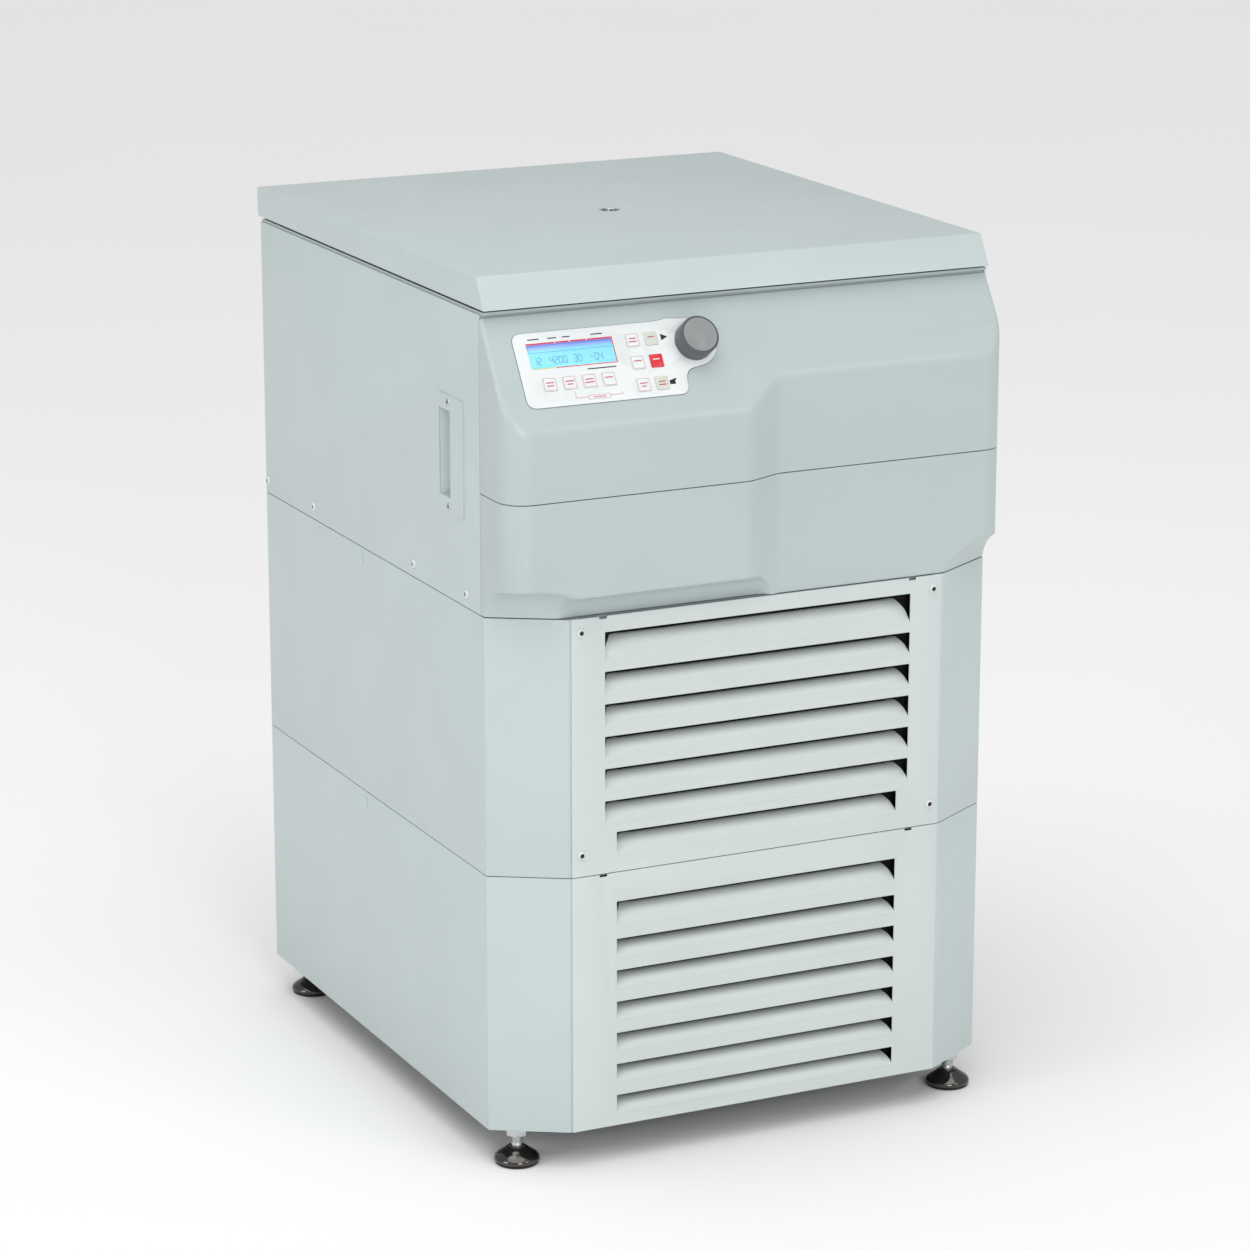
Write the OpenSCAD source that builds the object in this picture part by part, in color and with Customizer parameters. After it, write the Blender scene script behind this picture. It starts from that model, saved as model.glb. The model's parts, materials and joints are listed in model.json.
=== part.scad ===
// Floor-standing refrigerated laboratory centrifuge.
// Millimetres. +Z up, front towards -Y, origin on the floor under the middle of the bounding box.

/* [Cabinet] */
// Width across the side panels
body_w = 550; // [500:5:660]
// Depth from the front panels to the back panel
body_d = 620; // [580:5:744]
// Height of the lower module
lower_h = 264; // [220:1:320]
// Height of the middle module
middle_h = 260; // [255:1:320]
// Height of the upper housing
upper_h = 292; // [290:1:350]
// Sheet thickness of the panels
sheet_t = 1.5; // [1:0.1:2.5]
// Cut-off front corner, measured across the front
cut_x = 71.5; // [50:0.5:90]
// Cut-off front corner, measured along the side
cut_y = 43; // [30:0.5:55]
// Open joint between stacked panels
seam = 0.8; // [0.4:0.1:1.5]

/* [Feet] */
// Height of the cabinet above the floor
foot_h = 38; // [32:1:50]
// Radius of the foot disc
foot_r = 23; // [18:0.5:28]
// Radius of the threaded stem
stem_r = 6; // [4:0.5:8]
// Distance of a foot from the side of the cabinet
foot_inset = 30; // [28:1:45]

/* [Louvres] */
// Number of louvres in each front grille
louvre_n = 7; // [4:1:8]
// Spacing of the louvres
louvre_pitch = 32.6; // [28:0.1:36]
// Height of a louvre opening in the middle grille
louvre_h = 22.5; // [14:0.5:25]
// Height of a louvre opening in the lower grille
low_louvre_h = 18; // [12:0.5:25]
// How far a louvre blade reaches inwards
louvre_in = 12; // [6:0.5:16]
// Width of the middle grille's louvres
louvre_w = 335; // [250:1:350]
// Width of the lower grille's louvres
low_louvre_w = 310; // [250:1:350]

/* [Fascia] */
// Depth of the moulded front from its rear edge to the front panels
fascia_d = 50; // [40:1:60]
// How far the left bay stands in front of the front panels
bay_reach = 16; // [8:0.5:24]
// How far the right half stands behind the front panels
right_set = 2; // [0:0.5:5]
// Width of the slanted blend between the bay and the right half
bay_blend = 38; // [20:1:60]
// Radius of the vertical corners
corner_r = 26; // [16:0.5:32]
// Wall thickness of the moulding
fascia_t = 3.5; // [2:0.1:5]
// Height of the joint between the upper and lower mouldings above the fascia's foot
fascia_split = 120; // [90:1:140]
// Slope of the control face from horizontal
slope = 56.8; // [50:0.2:65]
// Radius of the cove under the bay
cove_r = 25; // [18:0.5:30]

/* [Controls] */
// Width of the display window
lcd_w = 89; // [70:1:95]
// Height of the display window
lcd_h = 24; // [18:1:28]
// Side of a key cap
key_s = 14; // [10:0.5:15]
// Travel of a key
key_travel = 0.5; // [0.3:0.1:0.8]
// Radius of the setting knob
knob_r = 19.5; // [14:0.5:21]
// Height of the setting knob
knob_h = 19; // [12:0.5:24]

/* [Lid] */
// Distance of the lid's sides inside the sides of the cabinet
lid_inset = 1.5; // [0:0.5:4]
// Thickness of the lid
lid_t = 30; // [26:1:40]
// Height of the lid's rim above the upper housing
lid_gap = 5; // [4:0.5:8]
// Distance of the lid's lower front edge behind the front panels
lid_set = 41.5; // [35:0.5:50]
// How far the lid's front face leans back at the top
lid_lean = 17; // [8:0.5:24]
// How far the lid reaches behind the back panel
lid_back = 11; // [11:0.5:20]
// Sheet thickness of the lid
lid_wall = 2; // [1.5:0.1:3]
// Largest opening angle of the lid
lid_open = 75; // [60:1:80]
// Lever arm of the gas struts about the hinge pin
strut_arm = 30; // [26:0.5:34]

/* [Chamber] */
// Inner radius of the rotor chamber
bowl_r = 200; // [165:1:205]
// Distance of the chamber's axis behind the front panels
bowl_set = 341; // [330:1:420]
// Sheet thickness of the bowl
bowl_t = 1.5; // [1:0.1:3]
// Wall thickness of the guard ring
guard_t = 8; // [5:0.5:12]
// Tube radius of the evaporator coil
coil_r = 4.5; // [3:0.5:6]

/* [Rotor] */
// Radius of the drive shaft
shaft_r = 11; // [8:0.5:14]
// Distance of the bucket pivots from the axis
pivot_r = 92; // [88:0.5:104]
// Height of the bucket pivots below the top of the upper housing
pivot_drop = 112; // [105:1:130]
// Outer radius of a bucket
bucket_r = 42; // [34:0.5:43]
// Wall thickness of a bucket
bucket_t = 4; // [2:0.5:5]
// Radius of a bucket pivot pin
trunnion_r = 6; // [4:0.5:8]
// Clearance between a swung-out bucket and the chamber wall
swing_clear = 14; // [10:0.5:18]

/* [Drive and cooling] */
// Radius of the motor's body
motor_r = 80; // [65:1:90]
// Length of the motor's body below its flange
motor_len = 200; // [160:1:215]
// Height of the rubber motor mounts
mount_h = 22; // [18:1:30]
// Radius of the compressor's shell
comp_r = 82; // [60:1:95]
// Radius of the condenser fan
fan_r = 88; // [70:1:96]

/* [Hidden] */
$fn = 64;
eps = 0.01;
fit = 0.05;              // radial clearance of every turning or sliding fit
gap = 0.4;               // clearance round keys and set-in pieces

front_y = bay_reach - (body_d + bay_reach + lid_back) / 2;
back_y = front_y + body_d;
z_mid = foot_h + lower_h;
z_up = z_mid + middle_h;
z_top = z_up + upper_h;
lid_z = z_top + lid_gap;
cut_len = sqrt(cut_x * cut_x + cut_y * cut_y);
grille_w = body_w - 2 * cut_x;
inner_w = body_w - 2 * sheet_t;
plate_in = 2 * sheet_t + 0.5;      // frame plates clear the grille flanges

fascia_y = front_y + fascia_d;
panel_z = z_top - 3;
bay_y = front_y - bay_reach;
right_y = front_y + right_set;
left_x = -body_w / 2;

axis_y = front_y + bowl_set;
pivot_z = z_top - pivot_drop;
swing_r = bowl_r - swing_clear - pivot_r;
bucket_drop = sqrt(swing_r * swing_r - bucket_r * bucket_r);
bucket_rim = 10;
floor_z = pivot_z - swing_r - 14;
deck_t = 5;
bowl_top = z_top + 0.3 - deck_t;
guard_in = bowl_r + bowl_t + 2 * coil_r + 14;
guard_out = guard_in + guard_t;
bowl_rim = guard_out + 3.5;
deck_hole_r = bowl_r + 3;

boss_t = 5;
arm_face = bucket_r + boss_t + 1;
flange_z = z_up + mount_h;
mount_ring_r = motor_r + 20;

hinge_y = back_y + 6;
hinge_z = z_top + 3;
lid_w = body_w - 2 * lid_inset;
hinge_x = body_w / 2 - 105;
barrel_r = 5;
pin_r = 2.5;
knuckle = 15.7;
leaf_w = 50;

half_open = lid_open / 2;
strut_x = body_w / 2 - 23;
strut_tip_y = hinge_y - strut_arm * sin(90 - half_open);
strut_tip_z = hinge_z - strut_arm * cos(90 - half_open);
strut_y = (strut_tip_y + hinge_y - strut_arm) / 2;
strut_lift = 2 * (hinge_z - strut_tip_z);
strut_pin_r = 3;
rod_r = 4;
cyl_r = 9;
cyl_top = strut_tip_z - 24;

liner_z = lid_z + 3;
lid_front = front_y + lid_set;
lid_rear = back_y + lid_back;
port_r = 11;

lock_x = 145;
bolt_z = z_top - 31;
bolt_y = front_y + 69;
bar_y = bolt_y + 13;
bar_r = 4;
bolt_r = 2.6;
lock_travel = 11;

overlay_x0 = left_x + 27;
overlay_x1 = left_x + 197;
overlay_top = 19;
overlay_bottom = 96;
overlay_t = 0.8;
lcd_x = left_x + 40;
lcd_down = 32;
knob_x = left_x + 213;
knob_down = 44;
knob_shaft_r = 3;
key_row = [for (i = [0:3]) [left_x + 55 + i * 20.5, 73]];
key_col_a = [for (i = [0:2]) [left_x + 150.5, 36.5 + i * 23]];
key_col_b = [for (i = [0:2]) [left_x + 170, 36.5 + i * 23]];
key_at = concat(key_row, key_col_a, key_col_b);

foot_x = body_w / 2 - foot_inset;
foot_front_y = front_y + foot_inset + 12;
foot_rear_y = back_y - foot_inset - 2;

handle_y = front_y + 117.5;
handle_w = 60;
handle_z = z_up + 143.5;
handle_h = 116;
handle_t = 1.2;
handle_corner = 3;
grip_wall = 1.5;
grip_w = 26;             // opening in the handle plate
grip_h = 86;
grip_under = 16;         // how far the pocket reaches forwards behind the plate
grip_depth = 20;
grip_rear = front_y + 144;
grip_front = grip_rear - grip_w - grip_under;
scoop_r = 40;
scoop_x = left_x - scoop_r + grip_depth;
scoop_y = grip_rear - sqrt(scoop_r * scoop_r - (scoop_r - grip_depth) * (scoop_r - grip_depth));

side_screw_y = [84, 214, body_d - 140, body_d - 9];
grille_screw_x = grille_w / 2 - 10.5;
grille_screw_z = [z_up - 14.7, z_mid + 21.6];
screw_r = 4.6;
shank_r = 1.9;

fan_z = foot_h + 124;
fan_y = front_y + 78;
cond_y = front_y + 26;
cond_d = 34;
comp_x = body_w / 2 - 165;
comp_y = back_y - 140;
cond_w = body_w - 250;
riser_x = body_w / 2 - 75;
riser_y = back_y - 50;

rear_open_w = body_w - 190;
rear_open_z0 = foot_h + 32;
rear_open_z1 = z_mid - 38;

coil_n = 8;
coil_low = floor_z + 24;
coil_pitch = (bowl_top - 14 - coil_low) / (coil_n - 1);
coil_mid = bowl_r + bowl_t + 0.5 + coil_r;

handle_screw_y = front_y + 122;
handle_screw_z = [handle_z - 51.5, handle_z + 51.5];

inlet_x = left_x + 110;
inlet_z = z_mid + 60;
switch_x = inlet_x + 46;

// ---------- helpers ----------

// Points of an arc, from angle a to angle b.
function arc(c, r, a, b, n = 8) =
    [for (i = [0:n]) let (t = a + (b - a) * i / n) [c[0] + r * cos(t), c[1] + r * sin(t)]];

// Louvre rows of each grille: width, bottom edge and height of the opening.
mid_rows = [for (i = [0 : louvre_n - 1]) [
    i == 0 ? low_louvre_w : louvre_w,
    z_mid + 18 + i * louvre_pitch,
    i == louvre_n - 1 ? louvre_h + 7 : louvre_h
]];
low_rows = [for (i = [0 : louvre_n - 1]) [
    low_louvre_w,
    foot_h + 13.5 + i * louvre_pitch,
    i == louvre_n - 1 ? low_louvre_h + 6 : low_louvre_h
]];

// Cabinet footprint, taken in by i all round.
function footprint(i) = let (
    side_y = front_y + cut_y + i * (cut_len - cut_y) / cut_x,
    front_x = body_w / 2 - cut_x - i * (cut_len - cut_x) / cut_y
) [
    [left_x + i, side_y], [-front_x, front_y + i], [front_x, front_y + i],
    [-left_x - i, side_y], [-left_x - i, back_y - i], [left_x + i, back_y - i]
];

// A box given by its low corner and its high corner.
module block(a, b) {
    translate(a)
        cube([b[0] - a[0], b[1] - a[1], b[2] - a[2]]);
}

// A cylinder along X, from x0 to x1, round [y, z].
module rod_x(x0, x1, y, z, r) {
    translate([x0, y, z])
        rotate([0, 90, 0])
            cylinder(h = x1 - x0, r = r);
}

// A cylinder along Y, from y0 to y1, round [x, z].
module rod_y(y0, y1, x, z, r) {
    translate([x, y1, z])
        rotate([90, 0, 0])
            cylinder(h = y1 - y0, r = r);
}

// A section drawn in [y, z] and drawn out along X.
module along_x(x0, x1) {
    translate([x0, 0, 0])
        rotate([90, 0, 90])
            linear_extrude(x1 - x0)
                children();
}

// Puts its children on the control face: X across, -Y down the slope, Z out of it.
module on_panel() {
    translate([0, fascia_y, panel_z])
        rotate([slope, 0, 0])
            children();
}

// A flat piece on the control face, w by h round [x, down], from z0 to z1 above it.
module panel_block(at, w, h, z0, z1) {
    on_panel()
        block([at[0] - w / 2, -at[1] - h / 2, z0], [at[0] + w / 2, -at[1] + h / 2, z1]);
}

module both_sides() {
    children();
    mirror([1, 0, 0])
        children();
}

// ---------- cabinet ----------

module post(x, y) {
    block([x - 12.5, y - 12.5, foot_h + 3], [x + 12.5, y + 12.5, z_up - deck_t + 1]);
}

module foot_boss(x, y) {
    translate([x, y, foot_h])
        cylinder(h = 22, r = stem_r + 5);
}

module stem_hole(x, y) {
    translate([x, y, foot_h - 1])
        cylinder(h = 30, r = stem_r + fit);
}

// Welded frame: floor plate, shelf, deck and four posts.
module base_frame() {
    post_x = body_w / 2 - 42;
    post_ys = [front_y + 86, back_y - 72];
    color("silver")
        difference() {
            union() {
                translate([0, 0, foot_h])
                    linear_extrude(4)
                        polygon(footprint(plate_in));
                translate([0, 0, z_mid - 3])
                    linear_extrude(3)
                        polygon(footprint(plate_in));
                translate([0, 0, z_up - deck_t])
                    linear_extrude(deck_t)
                        polygon(footprint(plate_in));
                both_sides()
                    for (y = post_ys)
                        post(post_x, y);
                both_sides() {
                    foot_boss(foot_x, foot_front_y);
                    foot_boss(foot_x, foot_rear_y);
                }
            }
            both_sides() {
                stem_hole(foot_x, foot_front_y);
                stem_hole(foot_x, foot_rear_y);
            }
            translate([0, axis_y, z_up - deck_t - 1])
                cylinder(h = deck_t + 2, r = motor_r + 6);
            block([20, axis_y + 20, z_mid - 5], [riser_x + 12, back_y - 34, z_mid + 2]);
            block([-body_w / 2 + 90, front_y + 30, z_mid - 5], [body_w / 2 - 90, front_y + 150, z_mid + 2]);
            translate([riser_x, riser_y, z_up - deck_t - 1])
                cylinder(h = deck_t + 2, r = 14);
        }
}

// Bent sheet round the sides and back of a module, open where the front grille sits.
module wrap(z0, z1) {
    translate([0, 0, z0])
        linear_extrude(z1 - z0)
            union() {
                difference() {
                    polygon(footprint(0));
                    polygon(footprint(sheet_t));
                    translate([-grille_w / 2, front_y - 1])
                        square([grille_w, 10]);
                }
                for (s = [-1, 1])
                    translate([s * (grille_w / 2 - 7) - 11, front_y + sheet_t])
                        square([22, sheet_t]);
            }
}

// Pressed slot near the top edge of a side.
module side_slot(z) {
    block([-body_w, front_y + 343.5, z - 1.4], [body_w, front_y + 356.5, z + 1.4]);
}

module lower_wrap() {
    color("lightgray")
        difference() {
            wrap(foot_h, z_mid - seam);
            block([-rear_open_w / 2, back_y - 5, rear_open_z0], [rear_open_w / 2, back_y + 5, rear_open_z1]);
            side_slot(z_mid - 14);
        }
}

module middle_wrap() {
    color("lightgray")
        difference() {
            wrap(z_mid, z_up - seam);
            side_slot(z_up - 10);
            inlet_cut();
            both_sides()
                for (z = grille_screw_z)
                    rod_y(front_y - 1, front_y + 8, grille_screw_x, z, shank_r + 0.3);
        }
}

// Sides and back of the upper housing in one bent sheet.
module upper_wrap() {
    color("lightgray")
        difference() {
            block([left_x, fascia_y + seam, z_up], [-left_x, back_y, z_top]);
            block([left_x + sheet_t, fascia_y - 1, z_up - 1], [-left_x - sheet_t, back_y - sheet_t, z_top + 1]);
            both_sides() {
                block([left_x - 5, grip_front - grip_wall - gap, handle_z - grip_h / 2 - grip_wall - gap],
                      [left_x + 5, grip_rear + grip_wall + gap, handle_z + grip_h / 2 + grip_wall + gap]);
                for (y = side_screw_y)
                    rod_x(left_x - 5, left_x + 5, front_y + y, z_up + 13.2, shank_r + 0.3);
                for (z = handle_screw_z)
                    rod_x(left_x - 5, left_x + 5, handle_screw_y, z, shank_r + 0.3);
            }
        }
}

// Vented plate over the opening in the lower module's back.
module rear_grille() {
    edge = 14;
    color("gainsboro")
        difference() {
            block([-rear_open_w / 2 - edge, back_y, rear_open_z0 - edge],
                  [rear_open_w / 2 + edge, back_y + 1.2, rear_open_z1 + edge]);
            for (z = [rear_open_z0 + 8 : 16 : rear_open_z1 - 12])
                for (s = [-1, 1])
                    block([s * rear_open_w / 4 - rear_open_w / 4 + 10, back_y - 1, z],
                          [s * rear_open_w / 4 + rear_open_w / 4 - 10, back_y + 3, z + 7]);
        }
}

// ---------- front grilles ----------

// Louvre blade: tangent to the panel at its lower edge, curling inwards to the slit above.
function blade(h, off) = [for (i = [0:6]) let (t = i * 12)
    [front_y + (louvre_in + off) * (1 - cos(t)) / (1 - cos(72)) + off, h * 0.9 * sin(t) / sin(72)]];

module louvre_blade(w, z, h) {
    outer = blade(h, 0);
    inner = [for (i = [6:-1:0]) [outer[i][0] + sheet_t, outer[i][1]]];
    translate([0, 0, z]) {
        along_x(-w / 2, w / 2)
            polygon(concat(outer, inner));
        for (s = [-1, 1])
            along_x(s * (w / 2 - 0.6) - 0.6, s * (w / 2 - 0.6) + 0.6)
                polygon(concat(outer, [[front_y, h * 0.9], [front_y, 0]]));
    }
}

module louvre_opening(w, z, h) {
    block([-w / 2, front_y - 1, z], [w / 2, front_y + 5, z + h]);
}

// Flat panel from z0 to z1 with rows [width, bottom, height] of louvres.
module grille(z0, z1, rows) {
    difference() {
        block([-grille_w / 2 + 0.5, front_y, z0], [grille_w / 2 - 0.5, front_y + sheet_t, z1]);
        for (r = rows)
            louvre_opening(r[0], r[1], r[2]);
        for (s = [-1, 1])
            block([s * (grille_w / 2 - 34) - 4, front_y - 1, z1 - 3], [s * (grille_w / 2 - 34) + 4, front_y + 5, z1 + 1]);
    }
    for (r = rows)
        louvre_blade(r[0], r[1], r[2]);
}

module lower_grille() {
    color("gainsboro")
        grille(foot_h, z_mid - seam, low_rows);
}

module middle_grille() {
    color("gainsboro")
        difference() {
            grille(z_mid, z_up - seam, mid_rows);
            both_sides()
                for (z = grille_screw_z)
                    rod_y(front_y - 1, front_y + 8, grille_screw_x, z, shank_r + 0.3);
        }
}

// Pan-head screw along +Z with its head on z = 0.
module screw() {
    difference() {
        union() {
            cylinder(h = 2.4, r = screw_r);
            translate([0, 0, -8])
                cylinder(h = 8.5, r = shank_r);
        }
        translate([0, 0, 1.2])
            cylinder(h = 3, r = 1.8, $fn = 6);
    }
}

module panel_screws() {
    color("white") {
        both_sides()
            for (z = grille_screw_z)
                translate([grille_screw_x, front_y, z])
                    rotate([90, 0, 0])
                        screw();
        both_sides()
            for (y = side_screw_y)
                translate([left_x, front_y + y, z_up + 13.2])
                    rotate([0, -90, 0])
                        screw();
        both_sides()
            for (z = handle_screw_z)
                translate([left_x - handle_t, handle_screw_y, z])
                    rotate([0, -90, 0])
                        screw();
    }
}

// Finger pocket: an upright round hollow with flat ends, cut off at the panel and in front; t is its wall.
module grip_pocket(t) {
    half = grip_h / 2 + t;
    intersection() {
        translate([scoop_x, scoop_y, handle_z - half])
            cylinder(h = 2 * half, r = scoop_r + t, $fn = 128);
        block([left_x, grip_front - t, handle_z - half],
              [left_x + grip_depth + t, grip_rear + t, handle_z + half]);
    }
}

module handle_face() {
    x0 = left_x - handle_t;
    y = handle_w / 2;
    z = handle_h / 2;
    c = handle_corner;
    block([x0, handle_y - y + c, handle_z - z], [left_x, handle_y + y - c, handle_z + z]);
    block([x0, handle_y - y, handle_z - z + c], [left_x, handle_y + y, handle_z + z - c]);
    for (u = [-1, 1])
        for (v = [-1, 1])
            rod_x(x0, left_x, handle_y + u * (y - c), handle_z + v * (z - c), c);
}

// Screwed-on plates with a finger pocket, one on each side of the upper housing.
module handle_plates() {
    color("lightgray")
        both_sides()
            difference() {
                union() {
                    handle_face();
                    grip_pocket(grip_wall);
                }
                grip_pocket(0);
                block([left_x - 5, grip_rear - grip_w, handle_z - grip_h / 2],
                      [left_x + eps, grip_rear, handle_z + grip_h / 2]);
                for (z = handle_screw_z)
                    rod_x(left_x - 5, left_x + 5, handle_screw_y, z, shank_r + 0.3);
            }
}

// ---------- fascia and controls ----------

// Plan of the moulded front, taken in by i.
module fascia_plan(i) {
    rear = fascia_y + (i > 0 ? 1 : 0);
    polygon(concat(
        [[left_x + i, rear]],
        arc([left_x + corner_r, bay_y + corner_r], corner_r - i, 180, 270),
        [[-bay_blend / 2 - i / 4, bay_y + i], [bay_blend / 2 - i / 4, right_y + i]],
        arc([-left_x - corner_r, right_y + corner_r], corner_r - i, 270, 360),
        [[-left_x - i, rear]]
    ));
}

// Cove that brings a front corner back to the cut-off corner of the cabinet below.
module corner_cove(i) {
    r = 42 + i;
    translate([left_x + cut_x / 2, front_y + cut_y / 2, z_up - 8])
        rotate([0, 0, -atan(cut_y / cut_x)])
            translate([-100, -41, 0])
                rotate([0, 90, 0])
                    cylinder(h = 200, r = r);
}

module fascia_solid(i) {
    z0 = z_up + seam / 2 - (i > 0 ? 1 : 0);
    end_x = bay_blend / 2 - cove_r;
    difference() {
        translate([0, 0, z0])
            linear_extrude(panel_z - z0)
                fascia_plan(i);
        on_panel()
            block([-body_w, -400, -i], [body_w, 400, 400]);
        rod_x(left_x - 5, end_x, bay_y - 2, z_up - 2, cove_r + i);
        translate([end_x, bay_y - 2, z_up - 2])
            sphere(r = cove_r + i);
        both_sides()
            corner_cove(i);
    }
}

module fascia_shell() {
    difference() {
        fascia_solid(0);
        fascia_solid(fascia_t);
    }
}

module fascia_upper() {
    color("lightgray")
        difference() {
            fascia_shell();
            block([-body_w, front_y - 100, z_up - 10], [body_w, fascia_y + 10, z_up + fascia_split + 0.5]);
            panel_block([lcd_x + lcd_w / 2, lcd_down + lcd_h / 2], lcd_w + 2 * gap, lcd_h + 2 * gap, -8, 2);
            for (k = key_at)
                panel_block(k, key_s + 2 * gap, key_s + 2 * gap, -8, 2);
            on_panel()
                translate([knob_x, -knob_down, -8])
                    cylinder(h = 10, r = 6);
            rod_x(-body_w, body_w, fascia_y - 3.5, z_top - 38, 1.3);
        }
}

module fascia_lower() {
    color("lightgray")
        difference() {
            fascia_shell();
            block([-body_w, front_y - 100, z_up + fascia_split - 0.5], [body_w, fascia_y + 10, z_top + 10]);
            rod_x(-body_w, body_w, fascia_y - 3.5, z_up + 28.5, 1.3);
        }
}

// Plan of the printed overlay: a rounded rectangle that runs into a disc round the knob.
module overlay_plan() {
    r = 9;
    x0 = overlay_x0;
    x1 = overlay_x1;
    union() {
        polygon(concat(
            arc([x0 + r, -overlay_bottom + r], r, 180, 270),
            arc([x1 - r, -overlay_bottom + r], r, 270, 360),
            [[x1, -overlay_top], [x0 + r, -overlay_top]],
            arc([x0 + r, -overlay_top - r], r, 90, 180)
        ));
        translate([knob_x, -knob_down])
            circle(r = knob_down - overlay_top);
        translate([x1 - 1, -knob_down])
            square([knob_x - x1 + 1, knob_down - overlay_top]);
    }
}

module control_overlay() {
    color("white")
        difference() {
            on_panel()
                linear_extrude(overlay_t)
                    overlay_plan();
            panel_block([lcd_x + lcd_w / 2, lcd_down + lcd_h / 2], lcd_w + 2 * gap, lcd_h + 2 * gap, -1, 2);
            for (k = key_at)
                panel_block(k, key_s + 2 * gap, key_s + 2 * gap, -1, 2);
            on_panel()
                translate([knob_x, -knob_down, -1])
                    cylinder(h = 3, r = 6);
        }
}

module display_window() {
    color("skyblue")
        panel_block([lcd_x + lcd_w / 2, lcd_down + lcd_h / 2], lcd_w, lcd_h, -2, overlay_t + 0.2);
}

module key(i) {
    color(i == 8 ? "red" : "white")
        panel_block(key_at[i], key_s, key_s, -4.6, overlay_t + 0.6);
}

module setting_knob() {
    face = 1.4 + knob_h;
    color("gray")
        on_panel()
            translate([knob_x, -knob_down, 0])
                difference() {
                    union() {
                        translate([0, 0, 1.4])
                            cylinder(h = knob_h - 2, r = knob_r);
                        translate([0, 0, face - 2 - eps])
                            cylinder(h = 2 + eps, r1 = knob_r, r2 = knob_r - 1.6);
                        translate([0, 0, -8])
                            cylinder(h = 10, r = knob_shaft_r);
                    }
                    translate([-knob_r * 0.3, -knob_r * 0.38, face + 8])
                        sphere(r = 10);
                }
}

// Circuit board behind the control face, with the display module, encoder and key switches.
module control_board() {
    color("seagreen")
        difference() {
            union() {
                on_panel()
                    block([overlay_x0 + 6, -overlay_bottom + 3, -10], [knob_x + 22, -overlay_top - 3, -8.4]);
                panel_block([lcd_x + lcd_w / 2, lcd_down + lcd_h / 2], lcd_w - 6, lcd_h - 4, -9, -3);
                on_panel()
                    translate([knob_x, -knob_down, -9])
                        cylinder(h = 5, r = 8);
                for (k = key_at)
                    panel_block(k, 6, 6, -9, -6);
                for (x = [overlay_x0 + 11, knob_x + 15])
                    for (d = [overlay_top + 8, overlay_bottom - 8])
                        on_panel()
                            translate([x, -d, -9])
                                cylinder(h = 9 - fascia_t, r = 3);
            }
            on_panel()
                translate([knob_x, -knob_down, -12])
                    cylinder(h = 12, r = knob_shaft_r + fit);
        }
}

// ---------- chamber ----------

module top_deck() {
    plate_w = inner_w - 1;
    color("whitesmoke")
        difference() {
            union() {
                block([-plate_w / 2, fascia_y + 2, bowl_top], [plate_w / 2, back_y - sheet_t - 0.5, z_top + 0.3]);
                difference() {
                    block([left_x + 2, fascia_y - 4, z_top + 0.3], [-left_x - 2, back_y - 2, z_top + 2.8]);
                    block([left_x + 16, fascia_y + 8, z_top], [-left_x - 16, back_y - 16, z_top + 5]);
                }
            }
            translate([0, axis_y, bowl_top - 1])
                cylinder(h = 20, r = deck_hole_r, $fn = 128);
            both_sides() {
                block([lock_x - 6, bolt_y - 10, bowl_top - 1], [lock_x + 6, bolt_y + 10, z_top + 5]);
                block([strut_x - 11, strut_y - 19, bowl_top - 1], [strut_x + 13, strut_y + 17, z_top + 5]);
            }
        }
}

module chamber_gasket() {
    color("dimgray")
        translate([0, axis_y, z_top + 0.3])
            rotate_extrude($fn = 128)
                polygon([[deck_hole_r + 1, 0], [deck_hole_r + 13, 0], [deck_hole_r + 13, 3],
                         [deck_hole_r + 9, 3], [deck_hole_r + 6, liner_z - z_top - 0.7],
                         [deck_hole_r + 3, liner_z - z_top - 0.7], [deck_hole_r + 1, 3]]);
}

// Rolled wall with a turned-out rim, and a dished floor welded under it.
module chamber_bowl() {
    bend = 15;
    hole = shaft_r + 12;
    top = bowl_top - floor_z;
    low = bend + fit;
    color("silver")
        translate([0, axis_y, floor_z]) {
            rotate_extrude($fn = 128)
                polygon([[bowl_r, low], [bowl_r, top], [bowl_rim, top], [bowl_rim, top - bowl_t],
                         [bowl_r + bowl_t, top - bowl_t], [bowl_r + bowl_t, low]]);
            rotate_extrude($fn = 128)
                polygon(concat(
                    [[hole, 0]],
                    arc([bowl_r - bend, bend], bend, 270, 360),
                    arc([bowl_r - bend, bend], bend + bowl_t, 360, 270),
                    [[hole, -bowl_t]]
                ));
        }
}

module evaporator_coil() {
    color("peru")
        translate([0, axis_y, 0]) {
            for (i = [0 : coil_n - 1])
                translate([0, 0, coil_low + i * coil_pitch])
                    rotate_extrude($fn = 128)
                        translate([coil_mid, 0])
                            circle(r = coil_r, $fn = 8);
            for (a = [28, 34])
                rotate([0, 0, a])
                    translate([coil_mid + 2, 0, coil_low])
                        cylinder(h = (coil_n - 1) * coil_pitch, r = 3);
        }
}

module guard_ring() {
    color("slategray")
        translate([0, axis_y, z_up])
            difference() {
                cylinder(h = bowl_top - bowl_t - z_up, r = guard_out, $fn = 128);
                translate([0, 0, -1])
                    cylinder(h = upper_h, r = guard_in, $fn = 128);
            }
}

// ---------- drive ----------

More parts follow.
